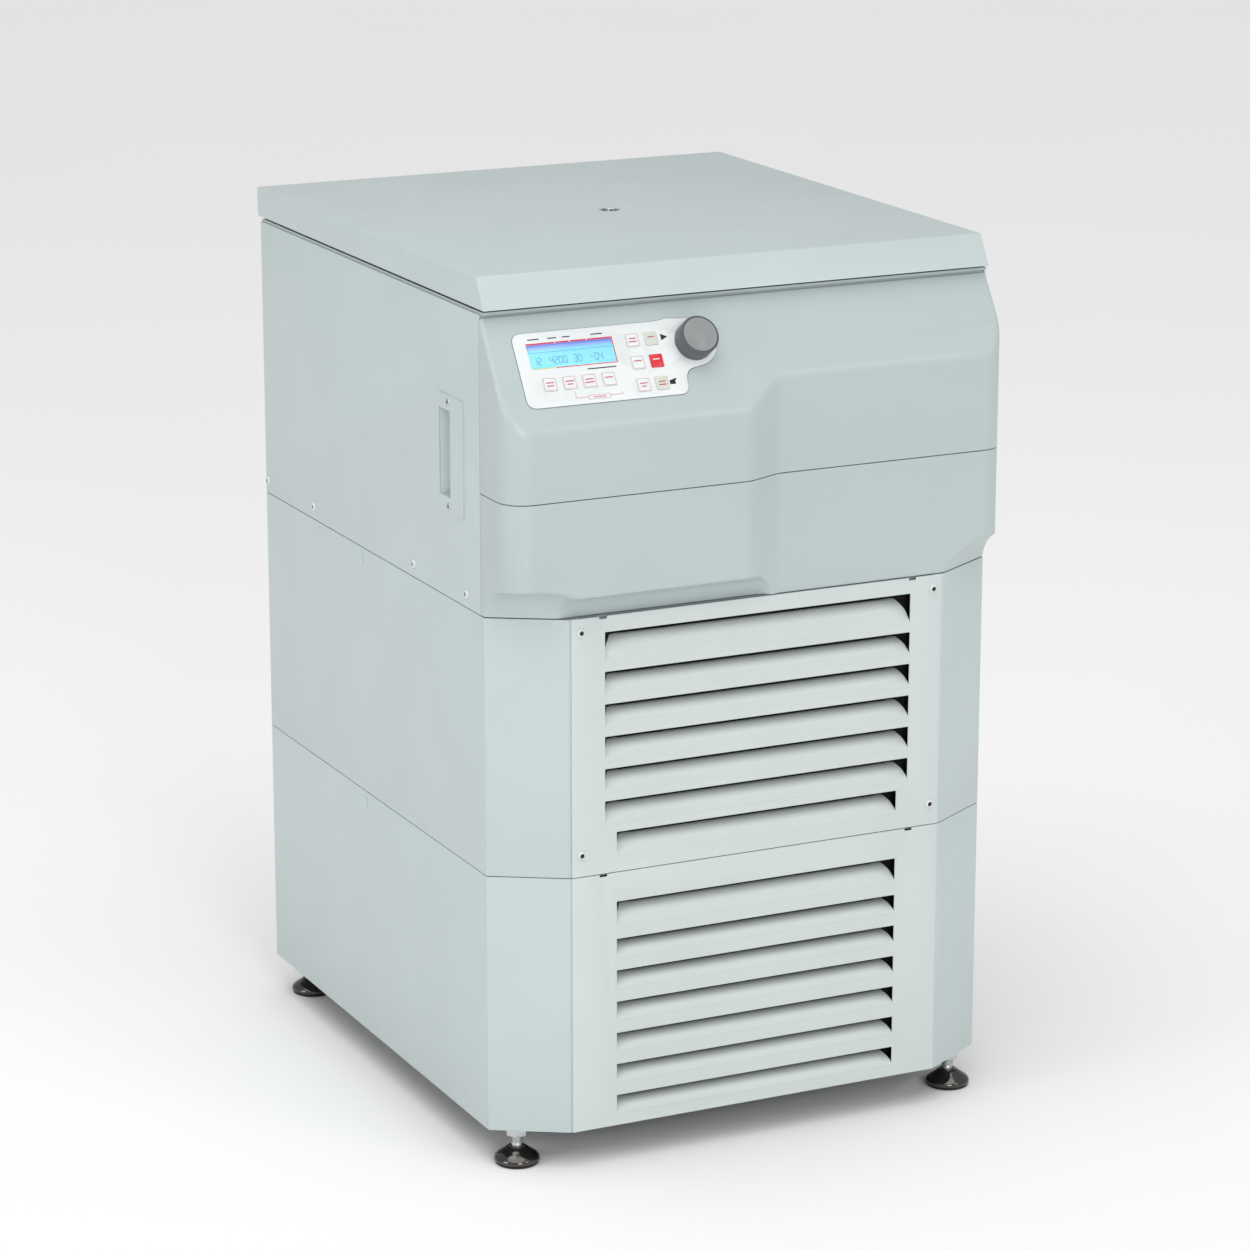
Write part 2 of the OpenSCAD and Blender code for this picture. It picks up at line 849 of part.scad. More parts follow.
module drive_motor() {
    low = flange_z - motor_len;
    core_r = motor_r - 26;
    color("darkslategray")
        translate([0, axis_y, 0])
            difference() {
                union() {
                    translate([0, 0, low])
                        cylinder(h = motor_len + 2, r = motor_r);
                    translate([0, 0, flange_z])
                        cylinder(h = 10, r = mount_ring_r + 15);
                    translate([0, 0, flange_z + 9])
                        cylinder(h = floor_z - 12 - flange_z - 9, r = shaft_r + 24);
                    block([motor_r - 8, -30, low + 60], [motor_r + 26, 30, low + 130]);
                }
                translate([0, 0, low - 1])
                    cylinder(h = floor_z - low + 10, r = shaft_r + fit);
                translate([0, 0, low + 24])
                    cylinder(h = motor_len - 48, r = core_r);
            }
}

module motor_mounts() {
    color("black")
        for (a = [90, 210, 330])
            translate([0, axis_y, z_up])
                rotate([0, 0, a])
                    translate([mount_ring_r, 0, 0])
                        union() {
                            cylinder(h = 4, r = 13);
                            cylinder(h = mount_h, r = 10);
                            translate([0, 0, mount_h - 4])
                                cylinder(h = 4, r = 13);
                        }
}

module drive_shaft() {
    low = flange_z - motor_len;
    color("gray")
        translate([0, axis_y, 0])
            union() {
                translate([0, 0, low + 6])
                    cylinder(h = pivot_z + 20 - low - 6, r = shaft_r);
                translate([0, 0, low + 26])
                    cylinder(h = motor_len - 52, r = motor_r - 28);
                translate([0, 0, pivot_z + 19])
                    cylinder(h = 24, r = 6);
            }
}

// Swing-out rotor: hub, four arms with pivot pins, and the hub nut.
module rotor_arm() {
    p = pivot_r + 14;
    a = arm_face;
    translate([0, 0, pivot_z - 16])
        linear_extrude(32)
            union() {
                polygon([[a, a], [p, a], [p, a + 12], [a + 12, p], [a, p]]);
                rotate([0, 0, 45])
                    translate([15, -17])
                        square([a * 1.42 - 8, 34]);
            }
    rod_y(a - 5.2, a + 1, pivot_r, pivot_z, trunnion_r);
    rod_x(a - 5.2, a + 1, pivot_r, pivot_z, trunnion_r);
}

module rotor_cross() {
    color("steelblue")
        translate([0, axis_y, 0])
            difference() {
                union() {
                    translate([0, 0, pivot_z - 30])
                        cylinder(h = 50, r = 36);
                    translate([0, 0, pivot_z + 19])
                        cylinder(h = 17, r = 17, $fn = 6);
                    for (q = [0:3])
                        rotate([0, 0, 90 * q])
                            rotor_arm();
                }
                translate([0, 0, pivot_z - 31])
                    cylinder(h = 51, r = shaft_r + fit);
                translate([0, 0, pivot_z + 15])
                    cylinder(h = 40, r = 6 + fit);
            }
}

module bucket(i) {
    ri = bucket_r - bucket_t;
    color("slategray")
        translate([0, axis_y, 0])
            rotate([0, 0, 90 * i])
                translate([pivot_r, 0, pivot_z])
                    difference() {
                        union() {
                            rotate_extrude()
                                polygon([[0, -bucket_drop], [bucket_r - 10, -bucket_drop],
                                         [bucket_r, -bucket_drop + 10], [bucket_r, bucket_rim - 4],
                                         [bucket_r + 1.5, bucket_rim - 4], [bucket_r + 1.5, bucket_rim],
                                         [0, bucket_rim]]);
                            for (s = [-1, 1])
                                block([-11, s * (bucket_r + boss_t / 2 - 2) - boss_t / 2 - 2, -11],
                                      [11, s * (bucket_r + boss_t / 2 - 2) + boss_t / 2 + 2, bucket_rim - 1]);
                        }
                        rotate_extrude()
                            polygon([[0, -bucket_drop + bucket_t], [ri - 8, -bucket_drop + bucket_t],
                                     [ri, -bucket_drop + bucket_t + 8], [ri, bucket_rim + 1], [0, bucket_rim + 1]]);
                        for (s = [-1, 1])
                            rod_y(min(s * (bucket_r + 0.3), s * (bucket_r + boss_t + 1)),
                                  max(s * (bucket_r + 0.3), s * (bucket_r + boss_t + 1)),
                                  0, 0, trunnion_r + fit);
                    }
}

// ---------- cooling ----------

// Tube through a list of points, with a soldered bead at each bend.
module tube(points, r) {
    for (i = [0 : len(points) - 2]) {
        d = points[i + 1] - points[i];
        l = norm(d);
        translate(points[i])
            rotate([0, acos(d[2] / l), atan2(d[1], d[0])])
                cylinder(h = l, r = r, $fn = 24);
    }
    for (p = points)
        translate(p)
            sphere(r = r + 0.8, $fn = 24);
}

module compressor() {
    color("black")
        translate([comp_x, comp_y, foot_h + 4])
            union() {
                rotate_extrude()
                    polygon(concat([[0, 14]], arc([comp_r - 34, 48], 34, 270, 360),
                                   arc([comp_r - 34, 150], 34, 0, 90), [[0, 184]]));
                translate([-comp_r + 6, -comp_r + 6, 14])
                    cube([2 * comp_r - 12, 2 * comp_r - 12, 6]);
                for (x = [-1, 1])
                    for (y = [-1, 1])
                        translate([x * (comp_r - 20), y * (comp_r - 20), 0])
                            cylinder(h = 15, r = 11);
            }
}

module condenser() {
    w = cond_w;
    low = foot_h + 10;
    high = z_mid - 22;
    color("silver")
        difference() {
            block([-w / 2, cond_y, low], [w / 2, cond_y + cond_d, high]);
            for (z = [low + 10 : 12 : high - 12])
                block([-w / 2 + 6, cond_y - 1, z], [w / 2 - 6, cond_y + 6, z + 6]);
            for (z = [low + 10 : 12 : high - 12])
                block([-w / 2 + 6, cond_y + cond_d - 6, z], [w / 2 - 6, cond_y + cond_d + 1, z + 6]);
        }
}

module fan_shroud() {
    w = cond_w;
    hole = fan_r + 5;
    y0 = cond_y + cond_d;
    motor_y = fan_y + 22;
    color("dimgray")
        difference() {
            union() {
                difference() {
                    union() {
                        block([-w / 2, y0, foot_h + 10], [w / 2, y0 + 3, z_mid - 22]);
                        rod_y(y0, motor_y + 6, 0, fan_z, hole + 3);
                    }
                    rod_y(y0 - 1, motor_y + 7, 0, fan_z, hole);
                }
                for (a = [30, 150, 270])
                    translate([0, motor_y, fan_z])
                        rotate([0, a, 0])
                            block([20, 0, -5], [hole + 1.5, 5, 5]);
                rod_y(motor_y, motor_y + 42, 0, fan_z, 30);
            }
            rod_y(motor_y - 1, motor_y + 26, 0, fan_z, 4 + fit);
        }
}

module condenser_fan() {
    motor_y = fan_y + 22;
    color("dimgray")
        union() {
            rod_y(fan_y - 6, fan_y + 16, 0, fan_z, 26);
            rod_y(fan_y + 10, motor_y + 24, 0, fan_z, 4);
            for (i = [0:6])
                translate([0, fan_y + 5, fan_z])
                    rotate([0, i * 360 / 7, 0])
                        rotate([28, 0, 0])
                            translate([20, -1.2, -14])
                                cube([fan_r - 22, 2.4, 28]);
        }
}

module refrigerant_pipes() {
    side = body_w / 2 - 63;
    hot_z = foot_h + 90;
    low_z = foot_h + 30;
    into = cond_y + 20;
    cond_end = cond_w / 2 - 0.5;
    color("peru") {
        tube([[comp_x + comp_r - 4, comp_y - 20, hot_z], [side, comp_y - 20, hot_z],
              [side, into, hot_z], [cond_end, into, hot_z]], 4);
        tube([[-cond_end, into, low_z], [-side, into, low_z], [-side, axis_y + 60, low_z]], 4);
        rod_y(axis_y + 60, axis_y + 160, -side, low_z, 12);
        tube([[-side, axis_y + 158, low_z], [-side, back_y - 22, low_z],
              [comp_x, back_y - 22, low_z], [comp_x, comp_y + comp_r - 4, hot_z]], 4);
        tube([[comp_x + 30, comp_y, foot_h + 180], [comp_x + 30, comp_y, z_mid + 60],
              [riser_x, riser_y, z_mid + 60], [riser_x, riser_y, z_up + 30]], 5);
    }
}

module drive_inverter() {
    x0 = left_x + 25;
    y0 = axis_y - 80;
    color("darkslategray")
        difference() {
            block([x0, y0, z_mid], [x0 + 130, y0 + 210, z_mid + 175]);
            for (y = [y0 + 12 : 14 : y0 + 190])
                block([x0 + 8, y, z_mid + 150], [x0 + 122, y + 7, z_mid + 180]);
        }
}

// ---------- mains inlet ----------

module inlet_cut() {
    block([inlet_x - 24.4, back_y - 5, inlet_z - 14.4], [inlet_x + 24.4, back_y + 5, inlet_z + 14.4]);
    block([switch_x - 14.4, back_y - 5, inlet_z - 16.4], [switch_x + 14.4, back_y + 5, inlet_z + 16.4]);
}

module power_inlet() {
    color("black")
        union() {
            difference() {
                union() {
                    block([inlet_x - 24, back_y - 30, inlet_z - 14], [inlet_x + 24, back_y + 1, inlet_z + 14]);
                    block([inlet_x - 32, back_y, inlet_z - 20], [switch_x + 19, back_y + 3, inlet_z + 20]);
                    block([switch_x - 14, back_y - 24, inlet_z - 16], [switch_x + 14, back_y + 1, inlet_z + 16]);
                }
                block([inlet_x - 12.5, back_y - 16, inlet_z - 8.5], [inlet_x + 12.5, back_y + 5, inlet_z + 8.5]);
                block([switch_x - 9.6, back_y - 20, inlet_z - 12.4], [switch_x + 9.6, back_y + 5, inlet_z + 12.4]);
                rod_x(switch_x - 12, switch_x + 12, back_y - 5, inlet_z, 1.5 + fit);
            }
            for (x = [-7, 0, 7])
                block([inlet_x + x - 1, back_y - 17, inlet_z - 2.5], [inlet_x + x + 1, back_y - 3, inlet_z + 2.5]);
        }
}

// Rocker, stored with its lower half pressed in.
module mains_rocker() {
    color("darkred")
        translate([switch_x, back_y - 5, inlet_z])
            rotate([-12, 0, 0])
                union() {
                    rod_x(-11.5, 11.5, 0, 0, 1.5);
                    along_x(-9.2, 9.2)
                        polygon([[-7, -7], [4.5, -10], [2.6, 0], [4.5, 10], [-7, 7]]);
                }
}

// ---------- lid lock, hinges and struts ----------

module lock_guides() {
    color("dimgray")
        for (s = [-1, 1])
            difference() {
                union() {
                    block([s * lock_x - 44, bar_y - 9, bolt_z - 10], [s * lock_x - 28, bar_y + 9, bowl_top]);
                    if (s < 0)
                        rod_x(s * lock_x - 84, s * lock_x - 43, bar_y, bolt_z, 12);
                }
                rod_x(s * lock_x - 78, s * lock_x - 20, bar_y, bolt_z, bar_r + fit);
            }
}

// Sliding bar with an arm at each striker. A separate pin stands in each arm and enters the striker.
module lock_bar() {
    arm = bolt_r + 3;
    color("silver") {
        difference() {
            union() {
                rod_x(-lock_x - 70, lock_x - 15, bar_y, bolt_z, bar_r);
                for (s = [-1, 1])
                    block([s * lock_x - 20, bolt_y - arm, bolt_z - arm], [s * lock_x - 16, bar_y, bolt_z + arm]);
            }
            for (s = [-1, 1])
                rod_x(s * lock_x - 21, s * lock_x - 15, bolt_y, bolt_z, bolt_r + fit);
        }
        for (s = [-1, 1])
            rod_x(s * lock_x - 23, s * lock_x - 3.5, bolt_y, bolt_z, bolt_r);
    }
}

// Hooks under the lid: each pin of the lock bar slides in over the hook's lip.
module lid_strikers() {
    room = bolt_r + 1;
    lip = bolt_z - room - 4;
    rear = bolt_y + 7.5;
    color("silver")
        for (s = [-1, 1])
            union() {
                block([s * lock_x - 2, bolt_y + room, lip], [s * lock_x + 2, rear, liner_z]);
                block([s * lock_x - 2, bolt_y - 5, lip], [s * lock_x + 2, rear, bolt_z - room]);
                block([s * lock_x - 14, bolt_y - 7, liner_z - 2], [s * lock_x + 14, rear, liner_z]);
            }
}

module hinge_brackets() {
    color("silver")
        for (s = [-1, 1])
            translate([s * hinge_x, 0, 0])
                union() {
                    block([-leaf_w / 2, back_y, hinge_z - 48], [leaf_w / 2, back_y + 3, hinge_z - 8]);
                    block([-knuckle / 2, back_y, hinge_z - 12], [knuckle / 2, hinge_y, hinge_z]);
                    rod_x(-knuckle / 2, knuckle / 2, hinge_y, hinge_z, barrel_r);
                    rod_x(-leaf_w / 2 + 1, leaf_w / 2 - 1, hinge_y, hinge_z, pin_r);
                }
}

// Hinge leaves inside the lid's back wall, and the two levers that the struts push.
module lid_hinges() {
    leaf_y = lid_rear - lid_wall;
    color("silver") {
        for (s = [-1, 1])
            translate([s * hinge_x, 0, 0])
                difference() {
                    union() {
                        block([-leaf_w / 2, leaf_y - 3, hinge_z], [leaf_w / 2, leaf_y, lid_z + lid_t - 6]);
                        rod_x(-leaf_w / 2, leaf_w / 2, hinge_y, hinge_z, barrel_r);
                    }
                    rod_x(-knuckle / 2 - 0.4, knuckle / 2 + 0.4, hinge_y, hinge_z, barrel_r + 2);
                    rod_x(-leaf_w / 2 - 1, leaf_w / 2 + 1, hinge_y, hinge_z, pin_r + fit);
                }
        both_sides()
            union() {
                along_x(strut_x + 3, strut_x + 8)
                    polygon([[strut_tip_y - 7, strut_tip_z - 3], [strut_tip_y, strut_tip_z - 7],
                             [strut_tip_y + 6, strut_tip_z - 3], [strut_tip_y + 9, liner_z],
                             [strut_tip_y - 14, liner_z]]);
                rod_x(strut_x - 3, strut_x + 4, strut_tip_y, strut_tip_z, strut_pin_r);
            }
    }
}

module strut_cylinders() {
    color("black")
        both_sides()
            translate([strut_x, strut_y, 0])
                difference() {
                    union() {
                        translate([0, 0, z_up])
                            cylinder(h = 80, r = 5);
                        translate([0, 0, z_up + 78])
                            cylinder(h = cyl_top - z_up - 78, r = cyl_r);
                    }
                    translate([0, 0, z_up + 90])
                        cylinder(h = cyl_top - z_up - 100, r = cyl_r - 1.5);
                    translate([0, 0, cyl_top - 20])
                        cylinder(h = 30, r = rod_r + fit);
                }
}

// Strut rods with a slotted end: the slot takes up the sideways travel of the lid's pin.
module strut_rods() {
    slot_y = (hinge_y - strut_arm - strut_tip_y) / 2;
    slot_half = strut_pin_r + 0.9;
    color("silver")
        both_sides()
            translate([strut_x, strut_y, 0])
                difference() {
                    union() {
                        translate([0, 0, cyl_top - 90])
                            cylinder(h = strut_tip_z - cyl_top + 82, r = rod_r);
                        block([-2, slot_y - 7.5, strut_tip_z - 9], [2, -slot_y + 7.5, strut_tip_z + 7.5]);
                    }
                    block([-5, slot_y - strut_pin_r - 0.4, strut_tip_z - slot_half],
                          [5, -slot_y + strut_pin_r + 0.4, strut_tip_z + slot_half]);
                }
}

// ---------- feet ----------

module foot(x, y) {
    color("dimgray")
        translate([x, y, 0])
            union() {
                rotate_extrude()
                    polygon([[0, 0], [foot_r - 1.5, 0], [foot_r, 1.5], [foot_r, 5.5], [foot_r - 0.6, 8.5],
                             [foot_r - 5, 12.5], [12, 16], [stem_r + 2, 18], [0, 18]]);
                cylinder(h = foot_h + 20, r = stem_r);
                translate([0, 0, foot_h - 9])
                    cylinder(h = 8, r = stem_r + 5, $fn = 6);
            }
}

module foot_front_left() {
    foot(-foot_x, foot_front_y);
}

module foot_front_right() {
    foot(foot_x, foot_front_y);
}

module foot_rear_left() {
    foot(-foot_x, foot_rear_y);
}

module foot_rear_right() {
    foot(foot_x, foot_rear_y);
}

// ---------- lid ----------

// Side view of the lid, taken in by i on its front, top and back.
module lid_section(i) {
    lean = lid_lean / lid_t;
    drop = i > 0 ? 1 : 0;
    face = i * sqrt(1 + lean * lean);
    polygon([[lid_front + face - lean * drop, lid_z - drop], [lid_front + face + lean * (lid_t - i), lid_z + lid_t - i],
             [lid_rear - i, lid_z + lid_t - i], [lid_rear - i, lid_z - drop]]);
}

module lid_shell() {
    color("lightgray")
        difference() {
            along_x(-lid_w / 2, lid_w / 2)
                lid_section(0);
            along_x(-lid_w / 2 + lid_wall, lid_w / 2 - lid_wall)
                lid_section(lid_wall);
            translate([0, axis_y, lid_z])
                cylinder(h = lid_t + 1, r = port_r + fit);
            for (s = [-1, 1])
                block([s * hinge_x - leaf_w / 2 - 3, lid_rear - lid_wall - 1, lid_z - 1],
                      [s * hinge_x + leaf_w / 2 + 3, lid_rear + 1, hinge_z + barrel_r + 2.5]);
        }
}

module lid_liner() {
    x = lid_w / 2 - lid_wall - 0.5;
    color("whitesmoke")
        difference() {
            block([-x, lid_front + 6, liner_z], [x, lid_rear - lid_wall - 0.5, liner_z + 2]);
            for (s = [-1, 1])
                block([s * hinge_x - leaf_w / 2 - 3, hinge_y - 10, liner_z - 1],
                      [s * hinge_x + leaf_w / 2 + 3, lid_rear, liner_z + 5]);
            translate([0, axis_y, liner_z - 1])
                cylinder(h = 5, r = port_r + fit);
        }
}

module sight_window() {
    color("lightcyan")
        translate([0, axis_y, liner_z])
            cylinder(h = lid_z + lid_t - liner_z, r = port_r);
}

// ---------- what is drawn ----------

base_frame();
lower_wrap();
middle_wrap();
upper_wrap();
rear_grille();
lower_grille();
middle_grille();
panel_screws();
handle_plates();
fascia_upper();
fascia_lower();
control_overlay();
display_window();
key(0);  // key_1
key(1);  // key_2
key(2);  // key_3
key(3);  // key_4
key(4);  // key_5
key(5);  // key_6
key(6);  // key_7
key(7);  // key_8
key(8);  // key_9
key(9);  // key_10
setting_knob();
control_board();
top_deck();
chamber_gasket();
chamber_bowl();
evaporator_coil();
guard_ring();
drive_motor();
motor_mounts();
compressor();
condenser();
fan_shroud();
condenser_fan();
refrigerant_pipes();
drive_inverter();
power_inlet();
mains_rocker();
lock_guides();
lock_bar();
hinge_brackets();
strut_cylinders();
strut_rods();
foot_front_left();
foot_front_right();
foot_rear_left();
foot_rear_right();
lid_shell();
lid_liner();
sight_window();
lid_strikers();
lid_hinges();
rotor_cross();
drive_shaft();
bucket(0);  // bucket_1
bucket(1);  // bucket_2
bucket(2);  // bucket_3
bucket(3);  // bucket_4
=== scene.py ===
# %% [markdown]
# # A floor-standing laboratory centrifuge
# The machine stands on four levelling feet. Two boxes of bent, powder-coated sheet with louvred fronts
# carry an upper housing with a moulded control front, and a flat lid is hinged along its back.
# The engineering model is a fixed frame: it gives every size, and every piece made here rides on one of
# its bodies. Each step below says what a piece is on the real machine and why it is made this way.

# %% Load the frame and note its size
import json
import math

import bmesh
import bpy
import numpy as np
from mathutils import Matrix, Vector


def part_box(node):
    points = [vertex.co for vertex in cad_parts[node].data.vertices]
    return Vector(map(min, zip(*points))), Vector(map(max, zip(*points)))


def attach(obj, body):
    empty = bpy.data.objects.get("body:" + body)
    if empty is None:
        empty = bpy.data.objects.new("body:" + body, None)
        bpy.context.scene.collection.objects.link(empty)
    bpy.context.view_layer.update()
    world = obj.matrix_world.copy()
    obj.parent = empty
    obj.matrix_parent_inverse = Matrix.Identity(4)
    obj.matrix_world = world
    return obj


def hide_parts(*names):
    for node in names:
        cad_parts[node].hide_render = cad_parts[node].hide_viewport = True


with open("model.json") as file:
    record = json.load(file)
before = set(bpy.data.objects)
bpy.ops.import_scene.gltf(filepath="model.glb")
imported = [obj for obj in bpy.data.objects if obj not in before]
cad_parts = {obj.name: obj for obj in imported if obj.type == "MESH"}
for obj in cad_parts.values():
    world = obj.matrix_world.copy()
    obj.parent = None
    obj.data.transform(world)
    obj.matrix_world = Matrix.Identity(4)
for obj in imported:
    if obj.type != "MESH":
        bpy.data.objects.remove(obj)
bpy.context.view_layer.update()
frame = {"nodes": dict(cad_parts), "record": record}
record = frame["record"]
home = {node: body for body, nodes in record["behaviour"]["bodies"].items() for node in nodes}

# %% [markdown]
# ## The sizes that everything follows
# Places are read from the frame's boxes. Only what a box can't say, such as a bend radius or the width
# of the blend in the moulded front, is written here as a value of its own.

# %% Driving sizes, in metres
MM = 0.001
SIDE_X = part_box("upper_wrap")[1].x
BACK_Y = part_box("upper_wrap")[1].y
FRONT_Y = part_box("middle_grille")[0].y
GRILLE_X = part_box("middle_grille")[1].x + 0.5 * MM
CUT_Y = 43 * MM
SHEET = 1.5 * MM
BEND = 3 * MM
FASCIA_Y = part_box("fascia_upper")[1].y
PANEL_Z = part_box("fascia_upper")[1].z
SLOPE = math.radians(56.8)
AXIS_Y = sum(corner.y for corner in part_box("drive_shaft")) / 2
print("panel corner", round(FASCIA_Y, 4), round(PANEL_Z, 4), "rotor axis", round(AXIS_Y, 4))

# %% [markdown]
# ## Colour and nodes
# Paint and plastic colours are picked as sRGB hex values, but shaders add light in linear values, so one
# function turns one into the other. A second small function adds any node with its settings and links.

# %% One function for colour, one for nodes
def linear(hex_colour, scale=1.0):
    channels = [int(hex_colour[i:i + 2], 16) / 255 for i in (1, 3, 5)]
    turned = [c / 12.92 if c <= 0.04045 else ((c + 0.055) / 1.055) ** 2.4 for c in channels]
    return (*[min(1.0, c * scale) for c in turned], 1.0)


def add_node(tree, kind, inputs=None, **settings):
    node = tree.nodes.new(kind)
    for name, value in settings.items():
        setattr(node, name, value)
    for name, value in (inputs or {}).items():
        if isinstance(value, bpy.types.NodeSocket):
            tree.links.new(value, node.inputs[name])
        else:
            node.inputs[name].default_value = value
    return node


print("mid grey in linear light:", [round(c, 3) for c in linear("#808080")])

# %% [markdown]
# ## A finish with grain
# No real surface is one flat colour. Powder coat has orange peel, a moulding has the spark-eroded grain of
# its tool, and brushed metal has scratches that run one way. All of them are a base colour that drifts a
# little over some centimetres, a gloss that is uneven, and a fine relief. The function below makes that
# from two noise patterns, whose sizes are given in millimetres, and `stretch` draws the grain out into
# brush lines. Real orange peel is about 1 mm across, and is drawn a little coarser so that it shows.

# %% The finish function
def finish(name, colour, roughness, metallic=0.0, drift=0.04, drift_mm=90, grain_mm=2.0, relief_mm=0.03,
           uneven=0.05, stretch=(1, 1, 1), **shader):
    material = bpy.data.materials.new(name)
    material.use_nodes = True
    tree = material.node_tree
    tree.nodes.clear()
    place = add_node(tree, "ShaderNodeTexCoord").outputs["Object"]
    drawn = add_node(tree, "ShaderNodeMapping", {"Vector": place, "Scale": stretch}).outputs["Vector"]
    broad = add_node(tree, "ShaderNodeTexNoise", {"Vector": place, "Scale": 1 / (drift_mm * MM), "Detail": 2.0})
    grain = add_node(tree, "ShaderNodeTexNoise", {"Vector": drawn, "Scale": 1 / (grain_mm * MM), "Detail": 3.0})
    tint = add_node(tree, "ShaderNodeMix", data_type="RGBA")
    tree.links.new(broad.outputs["Fac"], tint.inputs["Factor"])
    colours = [socket for socket in tint.inputs if socket.type == "RGBA"]
    colours[0].default_value = linear(colour, 1 - drift)
    colours[1].default_value = linear(colour, 1 + drift)
    tinted = next(socket for socket in tint.outputs if socket.type == "RGBA")
    gloss = add_node(tree, "ShaderNodeMapRange", {
        "Value": grain.outputs["Fac"], "From Min": 0.3, "From Max": 0.7,
        "To Min": max(0.02, roughness - uneven), "To Max": min(1.0, roughness + uneven)})
    bump = add_node(tree, "ShaderNodeBump", {"Height": grain.outputs["Fac"], "Distance": relief_mm * MM})
    body = add_node(tree, "ShaderNodeBsdfPrincipled", {
        "Base Color": tinted, "Roughness": gloss.outputs["Result"], "Metallic": metallic,
        "Normal": bump.outputs["Normal"], **shader})
    add_node(tree, "ShaderNodeOutputMaterial", {"Surface": body.outputs["BSDF"]})
    return material


BRUSHED_ROUND = (0.02, 0.02, 1.0)
print("finish function ready")

# %% [markdown]
# ## Powder-coated sheet and moulded plastic
# Powder coat is polyester powder baked on steel: satin, faintly pebbled, IOR about 1.5. The front sheets
# are a touch lighter than the sides. The control front is an ABS moulding in the same grey with a finer,
# duller grain, and the lid is painted with the cabinet.

# %% Cabinet finishes
side_coat = finish("satin_powder_coat_side", "#BCC8C8", 0.38, IOR=1.5)
front_coat = finish("satin_powder_coat_front", "#C8D0CF", 0.36, IOR=1.5)
lid_coat = finish("satin_powder_coat_lid", "#BDC9C9", 0.34, IOR=1.5)
# The deck is painted a darker grey than the cabinet; the darkening is painted shade for its edge, which sits in shadow
# under the lid.
deck_coat_darkened_for_shade = finish("deck_powder_coat_with_painted_shade", "#A9B4B4", 0.42, IOR=1.5)
liner_coat = finish("white_powder_coat_liner", "#DDE2E1", 0.42, IOR=1.5)
moulded_abs = finish("spark_eroded_abs_front", "#B3BFBF", 0.36, grain_mm=1.2, relief_mm=0.02, drift_mm=140, IOR=1.53)
primer = finish("grey_primer_on_steel", "#7D8284", 0.6, grain_mm=3, relief_mm=0.05)
black_enamel = finish("black_enamel", "#141516", 0.3, grain_mm=4, relief_mm=0.05, drift=0.2, IOR=1.5)
print(len(bpy.data.materials), "materials for sheet and mouldings")

# %% [markdown]
# ## Metals
# Bare metal has no paint layer, so its whole colour is reflection and `metallic` is 1. Turned and rolled
# pieces are brushed round their axis: squeezing the grain in X and Y leaves lines that run level.
# Zinc plate is bluish and slightly cloudy, anodised aluminium is even and dull, copper tube is drawn smooth.

# %% Metal finishes
bowl_steel = finish("brushed_stainless_bowl", "#C3C4C2", 0.27, 1.0, grain_mm=1.6, relief_mm=0.02, stretch=BRUSHED_ROUND)
ground_steel = finish("ground_steel", "#AEB0B2", 0.22, 1.0, grain_mm=1.0, relief_mm=0.01, stretch=BRUSHED_ROUND)
zinc_plate = finish("zinc_plated_steel", "#C6CACC", 0.33, 1.0, drift=0.12, drift_mm=14, relief_mm=0.02)
bright_zinc = finish("white_painted_screw", "#D6DADA", 0.3, drift=0.02, drift_mm=8, relief_mm=0.01, IOR=1.5)
dark_chrome = finish("smoked_chrome", "#5C5A58", 0.13, 1.0, drift=0.1, drift_mm=20, relief_mm=0.01, uneven=0.04)
clear_anodised = finish("clear_anodised_aluminium", "#B9BDC0", 0.38, 1.0, grain_mm=0.8, relief_mm=0.01)
grey_anodised = finish("grey_anodised_aluminium", "#6F757A", 0.4, 1.0, grain_mm=0.8, relief_mm=0.01)
mill_aluminium = finish("mill_finish_aluminium", "#C0C2C3", 0.35, 1.0, grain_mm=1.5, relief_mm=0.02, stretch=(1, 1, 0.05))
copper = finish("drawn_copper_tube", "#B87A54", 0.28, 1.0, drift=0.2, drift_mm=30, relief_mm=0.01)
print(len(bpy.data.materials), "materials with the metals")

# %% [markdown]
# ## Rubber, plastics, film and glass
# EPDM rubber is nearly black and matt. The glass-filled nylon of the fan and inlet is black with a dull
# grain. The keypad is a printed polyester film with a soft sheen, and its red and black inks lie on it.

# %% Soft and clear finishes
rubber = finish("black_epdm_rubber", "#1B1B1C", 0.75, drift=0.15, drift_mm=12, grain_mm=1.0, relief_mm=0.04)
nylon = finish("glass_filled_nylon", "#17181A", 0.5, grain_mm=1.2, relief_mm=0.03)
knob_side = finish("knob_moulding", "#54585A", 0.42, grain_mm=0.8, relief_mm=0.02, IOR=1.5)
knob_cap = finish("knob_cap_moulding", "#8A8E8F", 0.4, grain_mm=0.8, relief_mm=0.02, IOR=1.5)
film = finish("white_polyester_film", "#DFE3E4", 0.32, drift=0.015, grain_mm=0.6, relief_mm=0.004, IOR=1.57)
grey_film = finish("grey_polyester_film", "#C9CFC4", 0.32, drift=0.02, grain_mm=0.6, relief_mm=0.004, IOR=1.57)
red_film = finish("red_polyester_film", "#D3202E", 0.32, drift=0.03, grain_mm=0.6, relief_mm=0.004, IOR=1.57)
red_ink = finish("red_screen_ink", "#C2405A", 0.45, drift=0.1, drift_mm=3, relief_mm=0.004)
# this black serves the printed marks, and also as painted shade in the screw sockets
black_ink_and_socket_shade = finish("black_screen_ink_and_socket_shade", "#161617", 0.4, drift=0.1, drift_mm=3, relief_mm=0.004)
